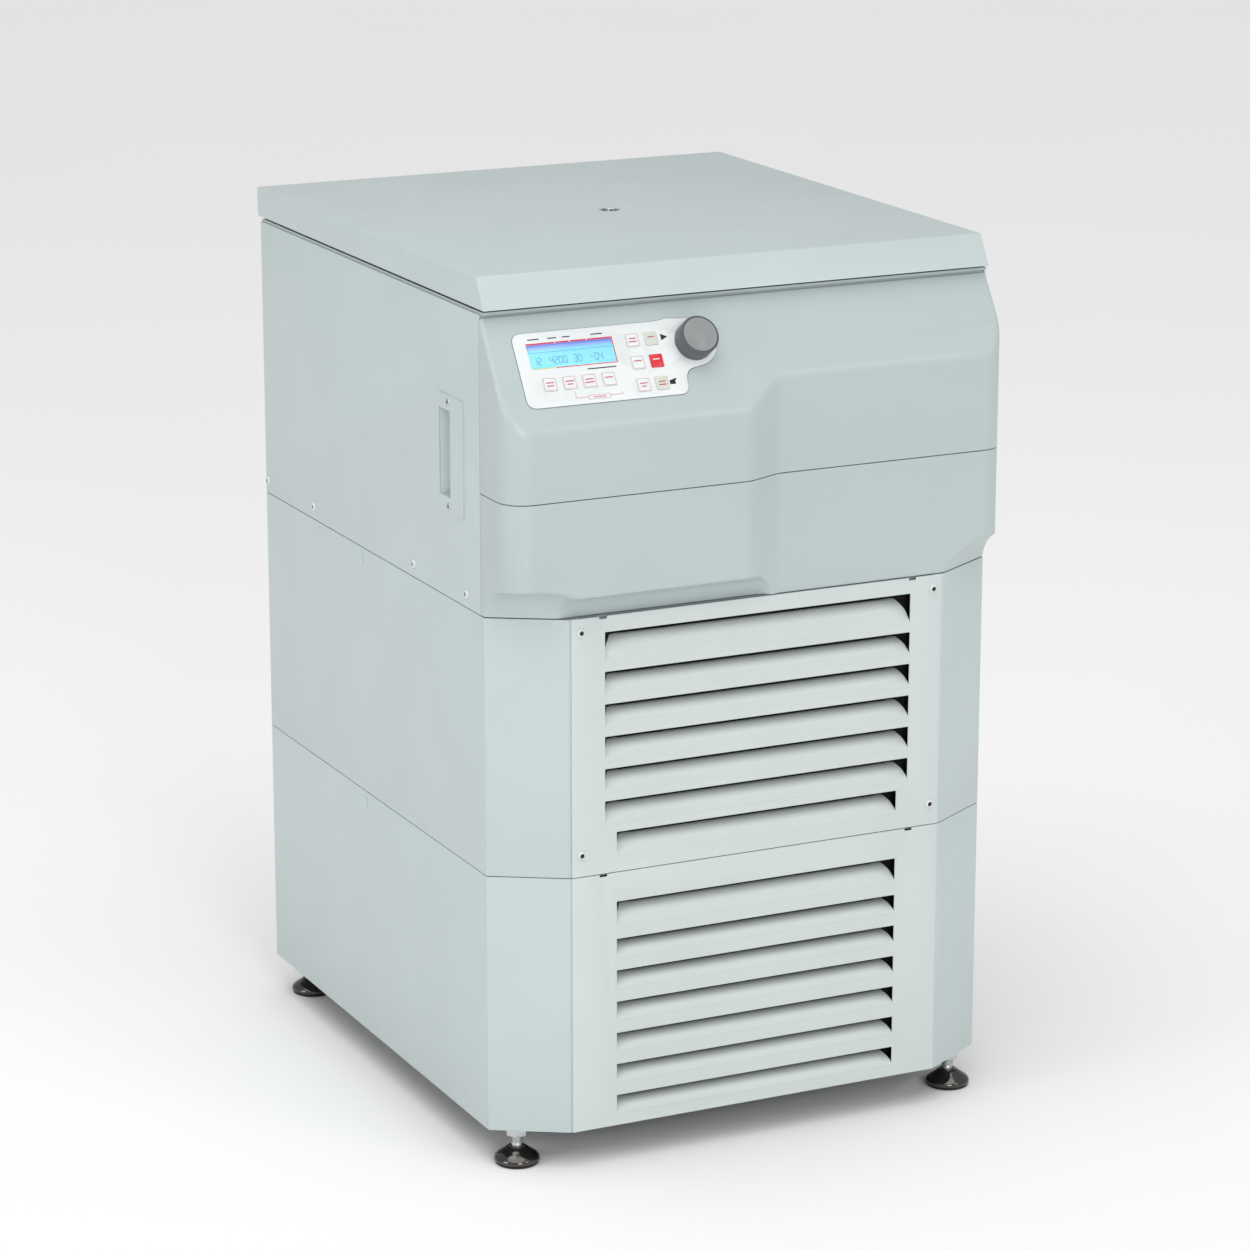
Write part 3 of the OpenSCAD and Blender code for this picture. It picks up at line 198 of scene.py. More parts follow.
# dark grey for the thin sheet under the film's rim: painted shade for the shadow line round the film
shadow_gap = finish("painted_film_shade_line", "#6E7778", 0.8, relief_mm=0.01)
lcd_ink = finish("display_segments", "#4A78C4", 0.5, drift=0.1, drift_mm=4, relief_mm=0.002)
board_green = finish("green_solder_mask", "#1E5B3C", 0.35, drift=0.2, drift_mm=8, relief_mm=0.03)
rocker_black = finish("gloss_black_rocker", "#1A1A1B", 0.18, relief_mm=0.005, IOR=1.5)
# near-black for the sheets behind the louvres: painted shade for the dark inside of the cabinet
slit_shade_black = finish("black_painted_slit_shade", "#0B0C0C", 0.95, grain_mm=2.5, relief_mm=1.2, drift=0.3, drift_mm=5)
# dark lens colour: painted shade for the dark chamber under the clear rod
port_lens = finish("acrylic_lens_painted_chamber_shade", "#39474A", 0.08, drift=0.02, relief_mm=0.002, IOR=1.49)
print(len(bpy.data.materials), "materials")

# %% [markdown]
# ## From a drawing in millimetres to a piece
# Every shape below is drawn in millimetres, because that is how sheet metal and mouldings are drawn, and
# is brought to metres in one place. Modifiers such as Bevel are tried live and then settled into the mesh,
# so that each finished piece is plain geometry at the origin. A piece that stands for a frame node takes
# that node's body, and the node is hidden.

# %% Helpers that make, settle and place a piece
def span(node):
    low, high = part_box(node)
    return low / MM, high / MM


def mesh_of(name, points, faces):
    shape = bmesh.new()
    corners = [shape.verts.new(Vector(p) * MM) for p in points]
    for face in faces:
        shape.faces.new([corners[i] for i in face])
    bmesh.ops.remove_doubles(shape, verts=shape.verts, dist=1e-6)
    bmesh.ops.recalc_face_normals(shape, faces=shape.faces)
    mesh = bpy.data.meshes.new(name)
    shape.to_mesh(mesh)
    shape.free()
    return mesh


def add_object(name, mesh, *materials):
    piece = bpy.data.objects.new(name, mesh)
    for material in materials:
        mesh.materials.append(material)
    bpy.context.scene.collection.objects.link(piece)
    return piece


def settle(piece, crease_deg=35):
    bpy.context.view_layer.update()
    graph = bpy.context.evaluated_depsgraph_get()
    mesh = bpy.data.meshes.new_from_object(piece.evaluated_get(graph))
    piece.modifiers.clear()
    piece.data = mesh
    mesh.shade_smooth()
    mesh.set_sharp_from_angle(angle=math.radians(crease_deg))
    return piece


def break_edges(piece, width, segments=3, angle=30, crease_deg=35):
    bevel = piece.modifiers.new("edge_break", "BEVEL")
    bevel.width = width * MM
    bevel.segments = segments
    bevel.limit_method = "ANGLE"
    bevel.angle_limit = math.radians(angle)
    return settle(piece, crease_deg)


def cut_away(piece, *cutters):
    for cutter in cutters:
        step = piece.modifiers.new("cut", "BOOLEAN")
        step.object = add_object("cutter", cutter)
        step.solver = "EXACT"
    used = [modifier.object for modifier in piece.modifiers]
    settle(piece)
    for cutter in used:
        bpy.data.objects.remove(cutter)
    return piece


def fit_on(piece, node, stands_for=True):
    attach(piece, home[node])
    if stands_for:
        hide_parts(node)
    print(piece.name, "on", home[node], "with", len(piece.data.polygons), "faces")
    return piece


# %% [markdown]
# ## Drawing aids
# A prism is an outline pushed straight up. A turned piece is a profile spun round an axis. Corners of an
# outline are rounded before it is pushed, which costs fewer faces than rounding them afterwards.

# %% Outlines, prisms and turned pieces
def rounded(points, radius, steps=6, closed=True):
    result = []
    for i, corner in enumerate(points):
        c = np.array(corner, float)
        if not closed and i in (0, len(points) - 1):
            result.append(tuple(c))
            continue
        a = np.array(points[i - 1], float) - c
        b = np.array(points[(i + 1) % len(points)], float) - c
        a, b = a / np.linalg.norm(a), b / np.linalg.norm(b)
        half = math.acos(np.clip(a @ b, -1, 1)) / 2
        centre = c + (a + b) / np.linalg.norm(a + b) * radius / math.sin(half)
        start, end = [c + side * radius / math.tan(half) - centre for side in (a, b)]
        begin = math.atan2(start[1], start[0])
        turn = (math.atan2(end[1], end[0]) - begin + math.pi) % (2 * math.pi) - math.pi
        for s in range(steps + 1):
            t = begin + turn * s / steps
            result.append((centre[0] + radius * math.cos(t), centre[1] + radius * math.sin(t)))
    return result


def box_outline(x0, y0, x1, y1):
    return [(x0, y0), (x1, y0), (x1, y1), (x0, y1)]


def prism(name, outline, low, high, place=lambda x, y, z: (x, y, z)):
    count = len(outline)
    points = [place(x, y, z) for z in (low, high) for x, y in outline]
    faces = [list(range(count))[::-1], list(range(count, 2 * count))]
    faces += [[i, (i + 1) % count, count + (i + 1) % count, count + i] for i in range(count)]
    return mesh_of(name, points, faces)


def turned(name, profile, place, steps=96):
    """Spins a profile of (radius, height). A radius of nothing becomes one pole."""
    points, rings = [], []
    for radius, height in profile:
        if radius < 1e-6:
            rings.append([len(points)])
            points.append(place(0, 0, height))
            continue
        rings.append(list(range(len(points), len(points) + steps)))
        points += [place(radius * math.cos(math.tau * s / steps), radius * math.sin(math.tau * s / steps), height)
                   for s in range(steps)]
    faces = []
    for low, high in zip(rings, rings[1:] + (rings[:1] if profile[0][0] > 1e-6 else [])):
        for s in range(steps):
            t = (s + 1) % steps
            face = [low[s % len(low)], low[t % len(low)], high[t % len(high)], high[s % len(high)]]
            face = list(dict.fromkeys(face))
            if len(face) > 2:
                faces.append(face)
    return mesh_of(name, points, faces)


def upright(cx, cy):
    return lambda x, y, z: (cx + x, cy + y, z)


def on_panel(x, down, rise):
    """A point on the sloped control face: across, down the slope, and out of it."""
    return (x, FASCIA_Y / MM - down * math.cos(SLOPE) - rise * math.sin(SLOPE),
            PANEL_Z / MM - down * math.sin(SLOPE) + rise * math.cos(SLOPE))


print("a point 50 mm down the control face:", [round(c, 1) for c in on_panel(0, 50, 0)])

# %% [markdown]
# ## The moulded control front
# On the real machine this is an injection moulding with no sharp edge anywhere: a bay that stands forward
# on the left, a slanted blend, a set-back right half, a sloped control face, and coves that run back under
# it to the cabinet. Bevels fail where so many rounded forms meet. A distance field doesn't: each form is a
# function that says how far a point lies outside it, and forms are joined or cut with a chosen radius.

# %% The front as one distance field, in millimetres
BAY_Y = span("fascia_upper")[0].y
RIGHT_Y = BAY_Y + 18
BLEND_X = 19
CORNER_R = 26
CREASE_R = 3.5
COVE_R = 25
FLOOR_Z = span("fascia_lower")[0].z - 0.4
CHAMFER_RUN = 71.5
CHAMFER = math.atan2(CUT_Y / MM, CHAMFER_RUN)
CHAMFER_MIDDLE = (239.25, -286)
CORNER_COVE_R = 42
EDGE_SOFT = 2


def round_join(a, b, radius):
    """The common space of two forms, with the edge between them rounded."""
    corner = np.sqrt(np.maximum(a + radius, 0) ** 2 + np.maximum(b + radius, 0) ** 2)
    return np.minimum(np.maximum(a, b), -radius) + corner


def front_line(x):
    """Y of the front along X: flat, a slanted blend with rounded ends, and flat again."""
    soft = 2.2
    share = (x + BLEND_X) / (2 * BLEND_X)
    ramp = soft * (np.logaddexp(0, share * 2 * BLEND_X / soft) - np.logaddexp(0, (share - 1) * 2 * BLEND_X / soft))
    return BAY_Y + (RIGHT_Y - BAY_Y) * np.clip(ramp / (2 * BLEND_X), 0, 1)


def front_distance(x, y, z):
    tilt = math.cos(math.atan((RIGHT_Y - BAY_Y) / (2 * BLEND_X)))
    steep = np.exp(-(x / BLEND_X) ** 4)
    front = (front_line(x) - y) * (1 - steep * (1 - tilt))
    form = round_join(front, np.abs(x) - SIDE_X / MM, CORNER_R)
    slope = -(y - FASCIA_Y / MM) * math.sin(SLOPE) + (z - PANEL_Z / MM) * math.cos(SLOPE)
    form = round_join(form, slope, CREASE_R)
    reach = np.maximum(x - (BLEND_X - COVE_R), 0)
    cove = np.sqrt(reach ** 2 + (y - BAY_Y + 2) ** 2 + (z - FLOOR_Z + 2) ** 2) - COVE_R
    form = round_join(form, -cove, EDGE_SOFT)
    across = (-np.abs(x) + CHAMFER_MIDDLE[0]) * math.sin(CHAMFER) + (y - CHAMFER_MIDDLE[1]) * math.cos(CHAMFER)
    corner_cove = np.sqrt((across + CORNER_COVE_R - 1) ** 2 + (z - FLOOR_Z + 8) ** 2) - CORNER_COVE_R
    return round_join(form, -corner_cove, EDGE_SOFT)


print("front at the bay, the middle and the right:", np.round(front_line(np.array([-200.0, 0.0, 200.0])), 1))

# %% [markdown]
# ## From the field to a skin
# Surface nets put one point in each small cube that the zero surface passes through and join neighbours
# with four-sided faces. Every point is then slid along the slope of the field until it lies on the surface,
# which gives true radii. The solid is cut open at the back, parted at the joint line with a 1 mm gap, given
# the 3.5 mm wall of the moulding, and its cut edges are broken a little.

# %% Surface nets
def surface_net(distance, low, high, step):
    axes = [np.arange(a, b + step, step) for a, b in zip(low, high)]
    grid = np.meshgrid(*axes, indexing="ij")
    field = distance(*grid)
    cells = tuple(n - 1 for n in field.shape)
    total, count = np.zeros(cells + (3,)), np.zeros(cells)
    crossings = []
    for axis in range(3):
        near = tuple(slice(None, -1) if k == axis else slice(None) for k in range(3))
        far = tuple(slice(1, None) if k == axis else slice(None) for k in range(3))
        a, b = field[near], field[far]
        i, j, k = np.nonzero((a < 0) != (b < 0))
        share = a[i, j, k] / (a[i, j, k] - b[i, j, k])
        spot = np.stack([axes[0][i], axes[1][j], axes[2][k]], -1)
        spot[:, axis] += share * step
        around = []
        u, v = [n for n in range(3) if n != axis]
        for du, dv in ((0, 0), (-1, 0), (-1, -1), (0, -1)):
            cell = np.stack([i, j, k], -1)
            cell[:, u] += du
            cell[:, v] += dv
            around.append(cell)
            inside = np.all((cell >= 0) & (cell < cells), axis=1)
            np.add.at(total, tuple(cell[inside].T), spot[inside])
            np.add.at(count, tuple(cell[inside].T), 1)
        crossings.append(np.stack(around, 1))
    used = count > 0
    number = -np.ones(cells, int)
    number[used] = np.arange(used.sum())
    points = total[used] / count[used][:, None]
    for _ in range(4):
        here = distance(*points.T)
        slope = np.stack([distance(*(points + shift).T) - here for shift in np.eye(3) * 0.01], -1) / 0.01
        points -= (here / np.maximum((slope ** 2).sum(1), 0.2))[:, None] * slope
    quads = []
    for around in crossings:
        inside = np.all((around >= 0) & (around < np.array(cells)), axis=(1, 2))
        quads.append(number[tuple(around[inside].reshape(-1, 3).T)].reshape(-1, 4))
    return points, np.concatenate(quads)


front_points, front_quads = surface_net(
    front_distance, (-279, BAY_Y - 4, FLOOR_Z - 5), (279, FASCIA_Y / MM + 8, PANEL_Z / MM + 9), 2.5)
print(len(front_points), "points and", len(front_quads), "faces on the raw skin")

# %% Part the skin, give it a wall and place both halves
WALL = 3.5
PARTING_Z = span("fascia_lower")[1].z
FASCIA_FLOOR = span("fascia_lower")[0].z


def front_half(name, low_z, high_z):
    shape = bmesh.new()
    corners = [shape.verts.new(p) for p in front_points]
    for quad in front_quads:
        ring = list(dict.fromkeys(quad.tolist()))
        if len(ring) > 2:
            shape.faces.new([corners[i] for i in ring])
    bmesh.ops.recalc_face_normals(shape, faces=shape.faces)
    for spot, way in (((0, FASCIA_Y / MM, 0), (0, 1, 0)), ((0, 0, low_z), (0, 0, -1)), ((0, 0, high_z), (0, 0, 1))):
        every = shape.verts[:] + shape.edges[:] + shape.faces[:]
        bmesh.ops.bisect_plane(shape, geom=every, plane_co=spot, plane_no=way, clear_outer=True)
    bmesh.ops.remove_doubles(shape, verts=shape.verts, dist=0.02)
    bmesh.ops.dissolve_limit(shape, angle_limit=math.radians(0.25), verts=shape.verts, edges=shape.edges)
    bmesh.ops.scale(shape, vec=Vector((MM, MM, MM)), verts=shape.verts)
    mesh = bpy.data.meshes.new(name)
    shape.to_mesh(mesh)
    shape.free()
    piece = add_object(name, mesh, moulded_abs)
    wall = piece.modifiers.new("wall", "SOLIDIFY")
    wall.thickness = WALL * MM
    wall.offset = -1
    wall.use_rim = True
    settle(piece, 50)
    return break_edges(piece, 1.3, segments=3, angle=65, crease_deg=50)


fit_on(front_half("control_front", PARTING_Z + 1, PANEL_Z / MM - 0.3), "fascia_upper")
fit_on(front_half("lower_front", FASCIA_FLOOR, PARTING_Z), "fascia_lower")

# %% [markdown]
# ## Bent sheet for the cabinet
# The cabinet is three wraps of 1.5 mm steel, bent on a press brake, so every corner has a bend radius of
# about 3 mm outside and half of it inside. A wrap is drawn as the line of its outer face and the same line
# moved in by the sheet. The two together are a closed outline that is pushed up to the height of the
# module. The flanges that carry the louvred front are bent inwards behind it, which leaves the fine
# vertical step beside the louvres.

# %% Sheet from a bent line
def moved_in(points, distance):
    """An open line moved to its left, with its corners mitred."""
    line = [np.array(p, float) for p in points]
    result = []
    for i, here in enumerate(line):
        ways = []
        if i > 0:
            ways.append(here - line[i - 1])
        if i < len(line) - 1:
            ways.append(line[i + 1] - here)
        sides = [np.array([-w[1], w[0]]) / np.linalg.norm(w) for w in ways]
        mean = sum(sides) / len(sides)
        result.append(tuple(here + mean * distance / (mean @ mean)))
    return result


def bent_sheet(name, line, low, high, bend, material):
    thick = SHEET / MM
    outer = rounded(line, bend, closed=False)
    inner = rounded(moved_in(line, -thick), bend - thick, closed=False)
    piece = add_object(name, prism(name, outer + inner[::-1], low, high), material)
    return break_edges(piece, 0.35, segments=2, angle=60)


LEFT = -SIDE_X / MM
FRONT = FRONT_Y / MM
BACK = BACK_Y / MM
FLANGE_IN = 1.6
chamfer_reach = FLANGE_IN * CHAMFER_RUN / (CUT_Y / MM)
flange_x = GRILLE_X / MM + chamfer_reach
half_line = [(-GRILLE_X / MM + 10, FRONT + FLANGE_IN), (-flange_x, FRONT + FLANGE_IN),
             (LEFT, FRONT + CUT_Y / MM), (LEFT, BACK)]
module_line = half_line + [(-x, y) for x, y in half_line[::-1]]
print("a module's sheet is bent at", len(module_line) - 2, "lines")

# %% [markdown]
# ## Openings and pressed dimples in the wraps
# Each opening is a block taken away from the sheet. A small upright oval is pressed into each side just
# under the joint with the module above. It locates the panel on the frame. It is an oval hole with a
# dished cap set in it, so the large flat face stays flat right up to its rim.

# %% Blocks, ovals and the two lower wraps
def block(low, high):
    return prism("block", box_outline(low[0], low[1], high[0], high[1]), low[2], high[2])


def oval(y, z, half_y, half_z, x_low, x_high, steps=40):
    outline = [(y + half_y * math.cos(math.tau * s / steps), z + half_z * math.sin(math.tau * s / steps))
               for s in range(steps)]
    return prism("oval", outline, x_low, x_high, place=lambda a, b, c: (c, a, b))


def dished_cap(side, y, z, half_y, half_z, deep=2.2, steps=40):
    """A shallow dish in the side wall: rings that sink towards the middle, and a back face."""
    face = side * SIDE_X / MM
    rings, points, faces = [], [], []
    for share, sink in ((1.0, 0.0), (0.86, 0.35), (0.66, 0.8), (0.4, 1.0), (0.15, 1.0)):
        rings.append(range(len(points), len(points) + steps))
        points += [(face - side * sink * deep, y + half_y * share * math.cos(math.tau * s / steps),
                    z + half_z * share * math.sin(math.tau * s / steps)) for s in range(steps)]
    rings.append(range(len(points), len(points) + steps))
    points += [(face - side * (deep + 1.2), y + half_y * math.cos(math.tau * s / steps),
                z + half_z * math.sin(math.tau * s / steps)) for s in range(steps)]
    for low, high in zip(rings, rings[1:]):
        if high is rings[-1]:
            low = rings[0]
        faces += [[low[s], low[(s + 1) % steps], high[(s + 1) % steps], high[s]] for s in range(steps)]
    faces += [list(rings[-2]), list(rings[-1])]
    return mesh_of("dish", points, faces)


def join(target, *meshes):
    shape = bmesh.new()
    shape.from_mesh(target.data)
    for mesh in meshes:
        shape.from_mesh(mesh)
    shape.to_mesh(target.data)
    shape.free()
    return target


DIMPLE_Y = FRONT + 350
DIMPLE_HALF = (5.5, 8.2)
DIMPLE_DOWN = 12


def module_wrap(name, node, openings):
    low, high = span(node)
    piece = bent_sheet(name, module_line, low.z, high.z, BEND / MM, side_coat)
    place = (DIMPLE_Y, high.z - DIMPLE_DOWN, *DIMPLE_HALF)
    cut_away(piece, *[oval(*place, x - 5, x + 5) for x in (LEFT, -LEFT)], *openings)
    join(piece, *[dished_cap(side, *place) for side in (-1, 1)])
    piece.data.shade_smooth()
    piece.data.set_sharp_from_angle(angle=math.radians(35))
    return fit_on(piece, node)


vent_low, vent_high = span("rear_grille")
inlet_low, inlet_high = span("power_inlet")


def back_opening(low, high, lap):
    return block((low.x + lap, BACK - 5, low.z + lap), (high.x - lap, BACK + 5, high.z - lap))


module_wrap("lower_cabinet_wrap", "lower_wrap", [back_opening(vent_low, vent_high, 9)])
module_wrap("middle_cabinet_wrap", "middle_wrap", [back_opening(inlet_low, inlet_high, 6)])

# %% [markdown]
# ## The upper housing
# This wrap is a plain U: two sides and the back. Its sides are cut out behind the finger pockets.

# %% The upper wrap
grip_low, grip_high = span("handle_plates")
upper_low, upper_high = span("upper_wrap")
upper_line = [(LEFT, upper_low.y), (LEFT, BACK), (-LEFT, BACK), (-LEFT, upper_low.y)]
upper = bent_sheet("upper_housing_wrap", upper_line, upper_low.z, upper_high.z, BEND / MM, side_coat)
pocket_y = (grip_low.y + 3, grip_high.y - 1)
cut_away(upper, *[block((x - 5, pocket_y[0], grip_low.z + 4), (x + 5, pocket_y[1], grip_high.z - 4))
                  for x in (LEFT, -LEFT)])
fit_on(upper, "upper_wrap")

# %% [markdown]
# ## Louvres
# A louvre is a slit in the sheet whose lower lip is pressed inwards over a die. It leaves the sheet at a
# slightly raised bend, leans back in a soft curve and stops short of the slit's upper edge, which leaves a
# dark line there. Its ends curl in, so a dark corner stays open beside its top. One blade is drawn from its
# section, and Geometry Nodes repeat it up the panel. A row of another height or width has a count of one.

# %% One pressed blade
LEAN = math.radians(72)
SLIT = 6.2
BEND_BEAD = ((0.35, -2.3), (-0.12, -1.4), (-0.3, -0.5), (-0.2, 0.7))
CURL = 9


def pressed_blade(width, height, depth, steps=10, across=28):
    """A blade whose foot is on z = 0 in the plane y = 0. Its ends curve in, so it is narrower at the top."""
    thick = SHEET / MM
    taper = height * 0.42
    top = height - SLIT
    section = [(y, z, width / 2) for y, z in BEND_BEAD]
    for s in range(1, steps + 1):
        t = LEAN * s / steps
        rise = math.sin(t) / math.sin(LEAN)
        section.append((depth * (1 - math.cos(t)) / (1 - math.cos(LEAN)), top * rise, width / 2 - taper * rise ** 2.2))
    points, faces = [], []
    for back in (0, 1):
        for y, z, half in section:
            for s in range(across + 1):
                x = -half + 2 * half * s / across
                end = max(0.0, abs(x) - half + CURL) / CURL
                points.append((x, y + back * thick + (depth * 0.35 * end ** 2.5 if z > 0 else 0) * min(1, z / 6), z))
    wide, rows = across + 1, len(section)
    for back in (0, 1):
        for r in range(rows - 1):
            for s in range(across):
                at = back * wide * rows + r * wide + s
                faces.append([at, at + 1, at + 1 + wide, at + wide][::1 if back else -1])
    rim = [s for s in range(wide)] + [r * wide + across for r in range(1, rows)]
    rim += [(rows - 1) * wide + s for s in range(across - 1, -1, -1)] + [r * wide for r in range(rows - 2, 0, -1)]
    for k, here in enumerate(rim):
        after = rim[(k + 1) % len(rim)]
        faces.append([here, after, after + wide * rows, here + wide * rows])
    return mesh_of("blade", points, faces)


print("one blade has", len(pressed_blade(335, 22.5, 12).polygons), "faces")


# %% [markdown]
# ## A tree that repeats a piece along a line
# The tree has named inputs for the count, the first place and the pitch. It ends by turning its copies into
# real mesh and giving them their finish, because copies that are only instances don't leave Blender.

# %% The row tree
def new_tree(name, *inputs):
    tree = bpy.data.node_groups.new(name, "GeometryNodeTree")
    tree.interface.new_socket("Geometry", in_out="OUTPUT", socket_type="NodeSocketGeometry")
    for label, kind in inputs:
        tree.interface.new_socket(label, in_out="INPUT", socket_type="NodeSocket" + kind)
    given = tree.nodes.new("NodeGroupInput")
    return tree, given.outputs


def run_tree(name, tree, settings, *materials):
    """Runs a tree on an empty mesh with its named inputs set, and returns the result as a plain piece."""
    piece = add_object(name, bpy.data.meshes.new(name))
    step = piece.modifiers.new(name, "NODES")
    step.node_group = tree
    for socket in tree.interface.items_tree:
        if socket.in_out == "INPUT" and socket.name in settings:
            step[socket.identifier] = settings[socket.name]
    settle(piece)
    if not piece.data.materials:
        for material in materials:
            piece.data.materials.append(material)
    return piece


def finish_tree(tree, geometry, material):
    real = add_node(tree, "GeometryNodeRealizeInstances", {"Geometry": geometry})
    painted = add_node(tree, "GeometryNodeSetMaterial", {"Geometry": real.outputs["Geometry"], "Material": material})
    add_node(tree, "NodeGroupOutput", {"Geometry": painted.outputs["Geometry"]})


row_tree, given = new_tree("row_of_copies", ("Piece", "Object"), ("Count", "Int"), ("First", "Vector"),
                           ("Pitch", "Vector"), ("Finish", "Material"))
line = add_node(row_tree, "GeometryNodeMeshLine", {
    "Count": given["Count"], "Start Location": given["First"], "Offset": given["Pitch"]})
copied = add_node(row_tree, "GeometryNodeObjectInfo", {"Object": given["Piece"]})
placed = add_node(row_tree, "GeometryNodeInstanceOnPoints", {
    "Points": line.outputs["Mesh"], "Instance": copied.outputs["Geometry"]})
finish_tree(row_tree, placed.outputs["Instances"], given["Finish"])
print(row_tree.name, "has", len(row_tree.nodes), "nodes")


def row_of(name, pattern_mesh, count, first, pitch, material):
    pattern = add_object("pattern", pattern_mesh)
    result = run_tree(name, row_tree, {"Piece": pattern, "Count": count, "First": tuple(Vector(first) * MM),
                                       "Pitch": tuple(Vector(pitch) * MM), "Finish": material})
    bpy.data.objects.remove(pattern)
    return result


# %% [markdown]
# ## The two louvred fronts
# Each front is a flat plate with seven slits. The plate is cut first and its edges are broken, then the
# rows of blades are joined to it. The top slit of each panel is taller, and the lowest one of the middle
# panel is narrower.

# %% Plates, slits and blades
PITCH = 32.6
ROWS = 7
LOUVRE_IN = 12
NOTCH_X = 169.5


def louvred_front(name, node, first_z, width, height, extra_top, narrow_first):
    low, high = span(node)
    outline = box_outline(low.x, FRONT, high.x, FRONT + SHEET / MM)
    plate = add_object(name, prism(name, outline, low.z, high.z), front_coat)
    rows = [[width, first_z + i * PITCH, height] for i in range(ROWS)]
    rows[0][0] = narrow_first
    rows[-1][2] += extra_top
    cutters = [block((-w / 2, FRONT - 5, z), (w / 2, FRONT + 5, z + h)) for w, z, h in rows]
    cutters += [block((x - 4, FRONT - 5, high.z - 2.6), (x + 4, FRONT + 5, high.z + 5)) for x in (-NOTCH_X, NOTCH_X)]
    cut_away(plate, *cutters)
    break_edges(plate, 0.4, segments=2, angle=60)
    alike = [row for row in rows if row[0] == width and row[2] == height]
    sets = [(alike[0], len(alike))] + [(row, 1) for row in rows if row not in alike]
    stacks = [row_of("blades", pressed_blade(w, h, LOUVRE_IN), count, (0, FRONT, z), (0, 0, PITCH), front_coat)
              for (w, z, h), count in sets]
    join(plate, *[stack.data for stack in stacks])
    for stack in stacks:
        bpy.data.objects.remove(stack)
    plate.data.shade_smooth()
    plate.data.set_sharp_from_angle(angle=math.radians(30))
    return fit_on(plate, node)


MID_Z = span("middle_grille")[0].z
louvred_front("middle_louvred_front", "middle_grille", MID_Z + 18, 335, 22.5, 7, 310)
louvred_front("lower_louvred_front", "lower_grille", span("lower_grille")[0].z + 13.5, 310, 18, 6, 310)

# %% [markdown]
# ## Dark sheets behind the louvres
# Behind each louvred front hangs a black sheet. It is painted shade: it stands for the dark inside of the
# cabinet and makes the slits look black. The sheet is a soft plate with crowned faces, held by the flanges of the wrap.

# %% Two sheets of painted shade
def slit_shade_sheet(name, node, low_z, high_z, half_width=182, front_in=14.6, thick=6):
    outline = rounded(box_outline(-half_width, low_z, half_width, high_z), 8, 5)
    front = FRONT + front_in
    mat = add_object(name, prism(name, outline, front, front + thick, place=lambda a, b, c: (a, c, b)), slit_shade_black)
    break_edges(mat, 1.6, segments=4, angle=60)
    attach(mat, home[node])
    print(name, "hangs behind", node)


slit_shade_sheet("lower_filter_mat", "lower_grille", span("lower_grille")[0].z + 10, span("lower_grille")[1].z - 8)
slit_shade_sheet("middle_filter_mat", "middle_grille", MID_Z + 14, span("middle_grille")[1].z - 8)

# %% [markdown]
# ## Screws
# Twelve pan-head screws hold the panels. One head is turned from its profile with a sunk middle, and a
# tree sets it on the screw places and turns it to face out of each panel. The direction is a named
# attribute on the points. The heads of the finger-pocket plates are smaller and sit in their plates.

# %% One screw head and the tree that sets it out
def screw_head(radius, height):
    shares = [(0, 0.45), (0.5, 0.45), (0.53, 0.9), (0.6, 1), (0.86, 0.78), (0.97, 0.45), (1, 0)]
    crown = [(radius * out, height * up) for out, up in shares] + [(radius * 0.99, -0.3), (0, -0.3)]
    return turned("head", crown, upright(0, 0), steps=20)


scatter_tree, given = new_tree("screws_on_points", ("Head", "Object"), ("Places", "Object"),
                               ("Finish", "Material"))
places = add_node(scatter_tree, "GeometryNodeObjectInfo", {"Object": given["Places"]})
heads = add_node(scatter_tree, "GeometryNodeObjectInfo", {"Object": given["Head"]})
facing = add_node(scatter_tree, "GeometryNodeInputNamedAttribute", {"Name": "facing"}, data_type="FLOAT_VECTOR")
turn = add_node(scatter_tree, "FunctionNodeAlignRotationToVector", {"Vector": facing.outputs["Attribute"]}, axis="Z")
set_out = add_node(scatter_tree, "GeometryNodeInstanceOnPoints", {
    "Points": places.outputs["Geometry"], "Instance": heads.outputs["Geometry"], "Rotation": turn.outputs["Rotation"]})
finish_tree(scatter_tree, set_out.outputs["Instances"], given["Finish"])


def screws(name, spots, radius, height, material):
    """spots are pairs of (place, facing) in millimetres."""
    mesh = bpy.data.meshes.new("spots")
    mesh.from_pydata([tuple(Vector(p) * MM) for p, _ in spots], [], [])
    facing = mesh.attributes.new("facing", "FLOAT_VECTOR", "POINT")
    facing.data.foreach_set("vector", [part for _, way in spots for part in way])
    where = add_object("spots", mesh)
    head = add_object("head", screw_head(radius, height))
    result = run_tree(name, scatter_tree, {"Head": head, "Places": where, "Finish": material})
    bpy.data.objects.remove(where)
    bpy.data.objects.remove(head)
    result.data.set_sharp_from_angle(angle=math.radians(50))
    return result


SCREW_Y = [FRONT + y for y in (84, 214, 480, 611)]
SCREW_Z = span("upper_wrap")[0].z + 13.2
HANDLE_FACE = span("handle_plates")[0].x
HANDLE_SCREW = (-185.5, 705.5)
spots = [((x, FRONT, z), (0, -1, 0)) for x in (-193, 193) for z in (547.3, 323.6)]
spots += [((side * SIDE_X / MM, y, SCREW_Z), (side, 0, 0)) for side in (-1, 1) for y in SCREW_Y]
panel_heads = screws("panel_screws_set", spots, 4.6, 2.4, bright_zinc)
fit_on(panel_heads, "panel_screws")
small = [((side * -HANDLE_FACE, HANDLE_SCREW[0], HANDLE_SCREW[1] + up), (side, 0, 0))
         for side in (-1, 1) for up in (-51.5, 51.5)]
fit_on(screws("pocket_plate_screws", small, 3.4, 1.2, zinc_plate), "panel_screws", stands_for=False)
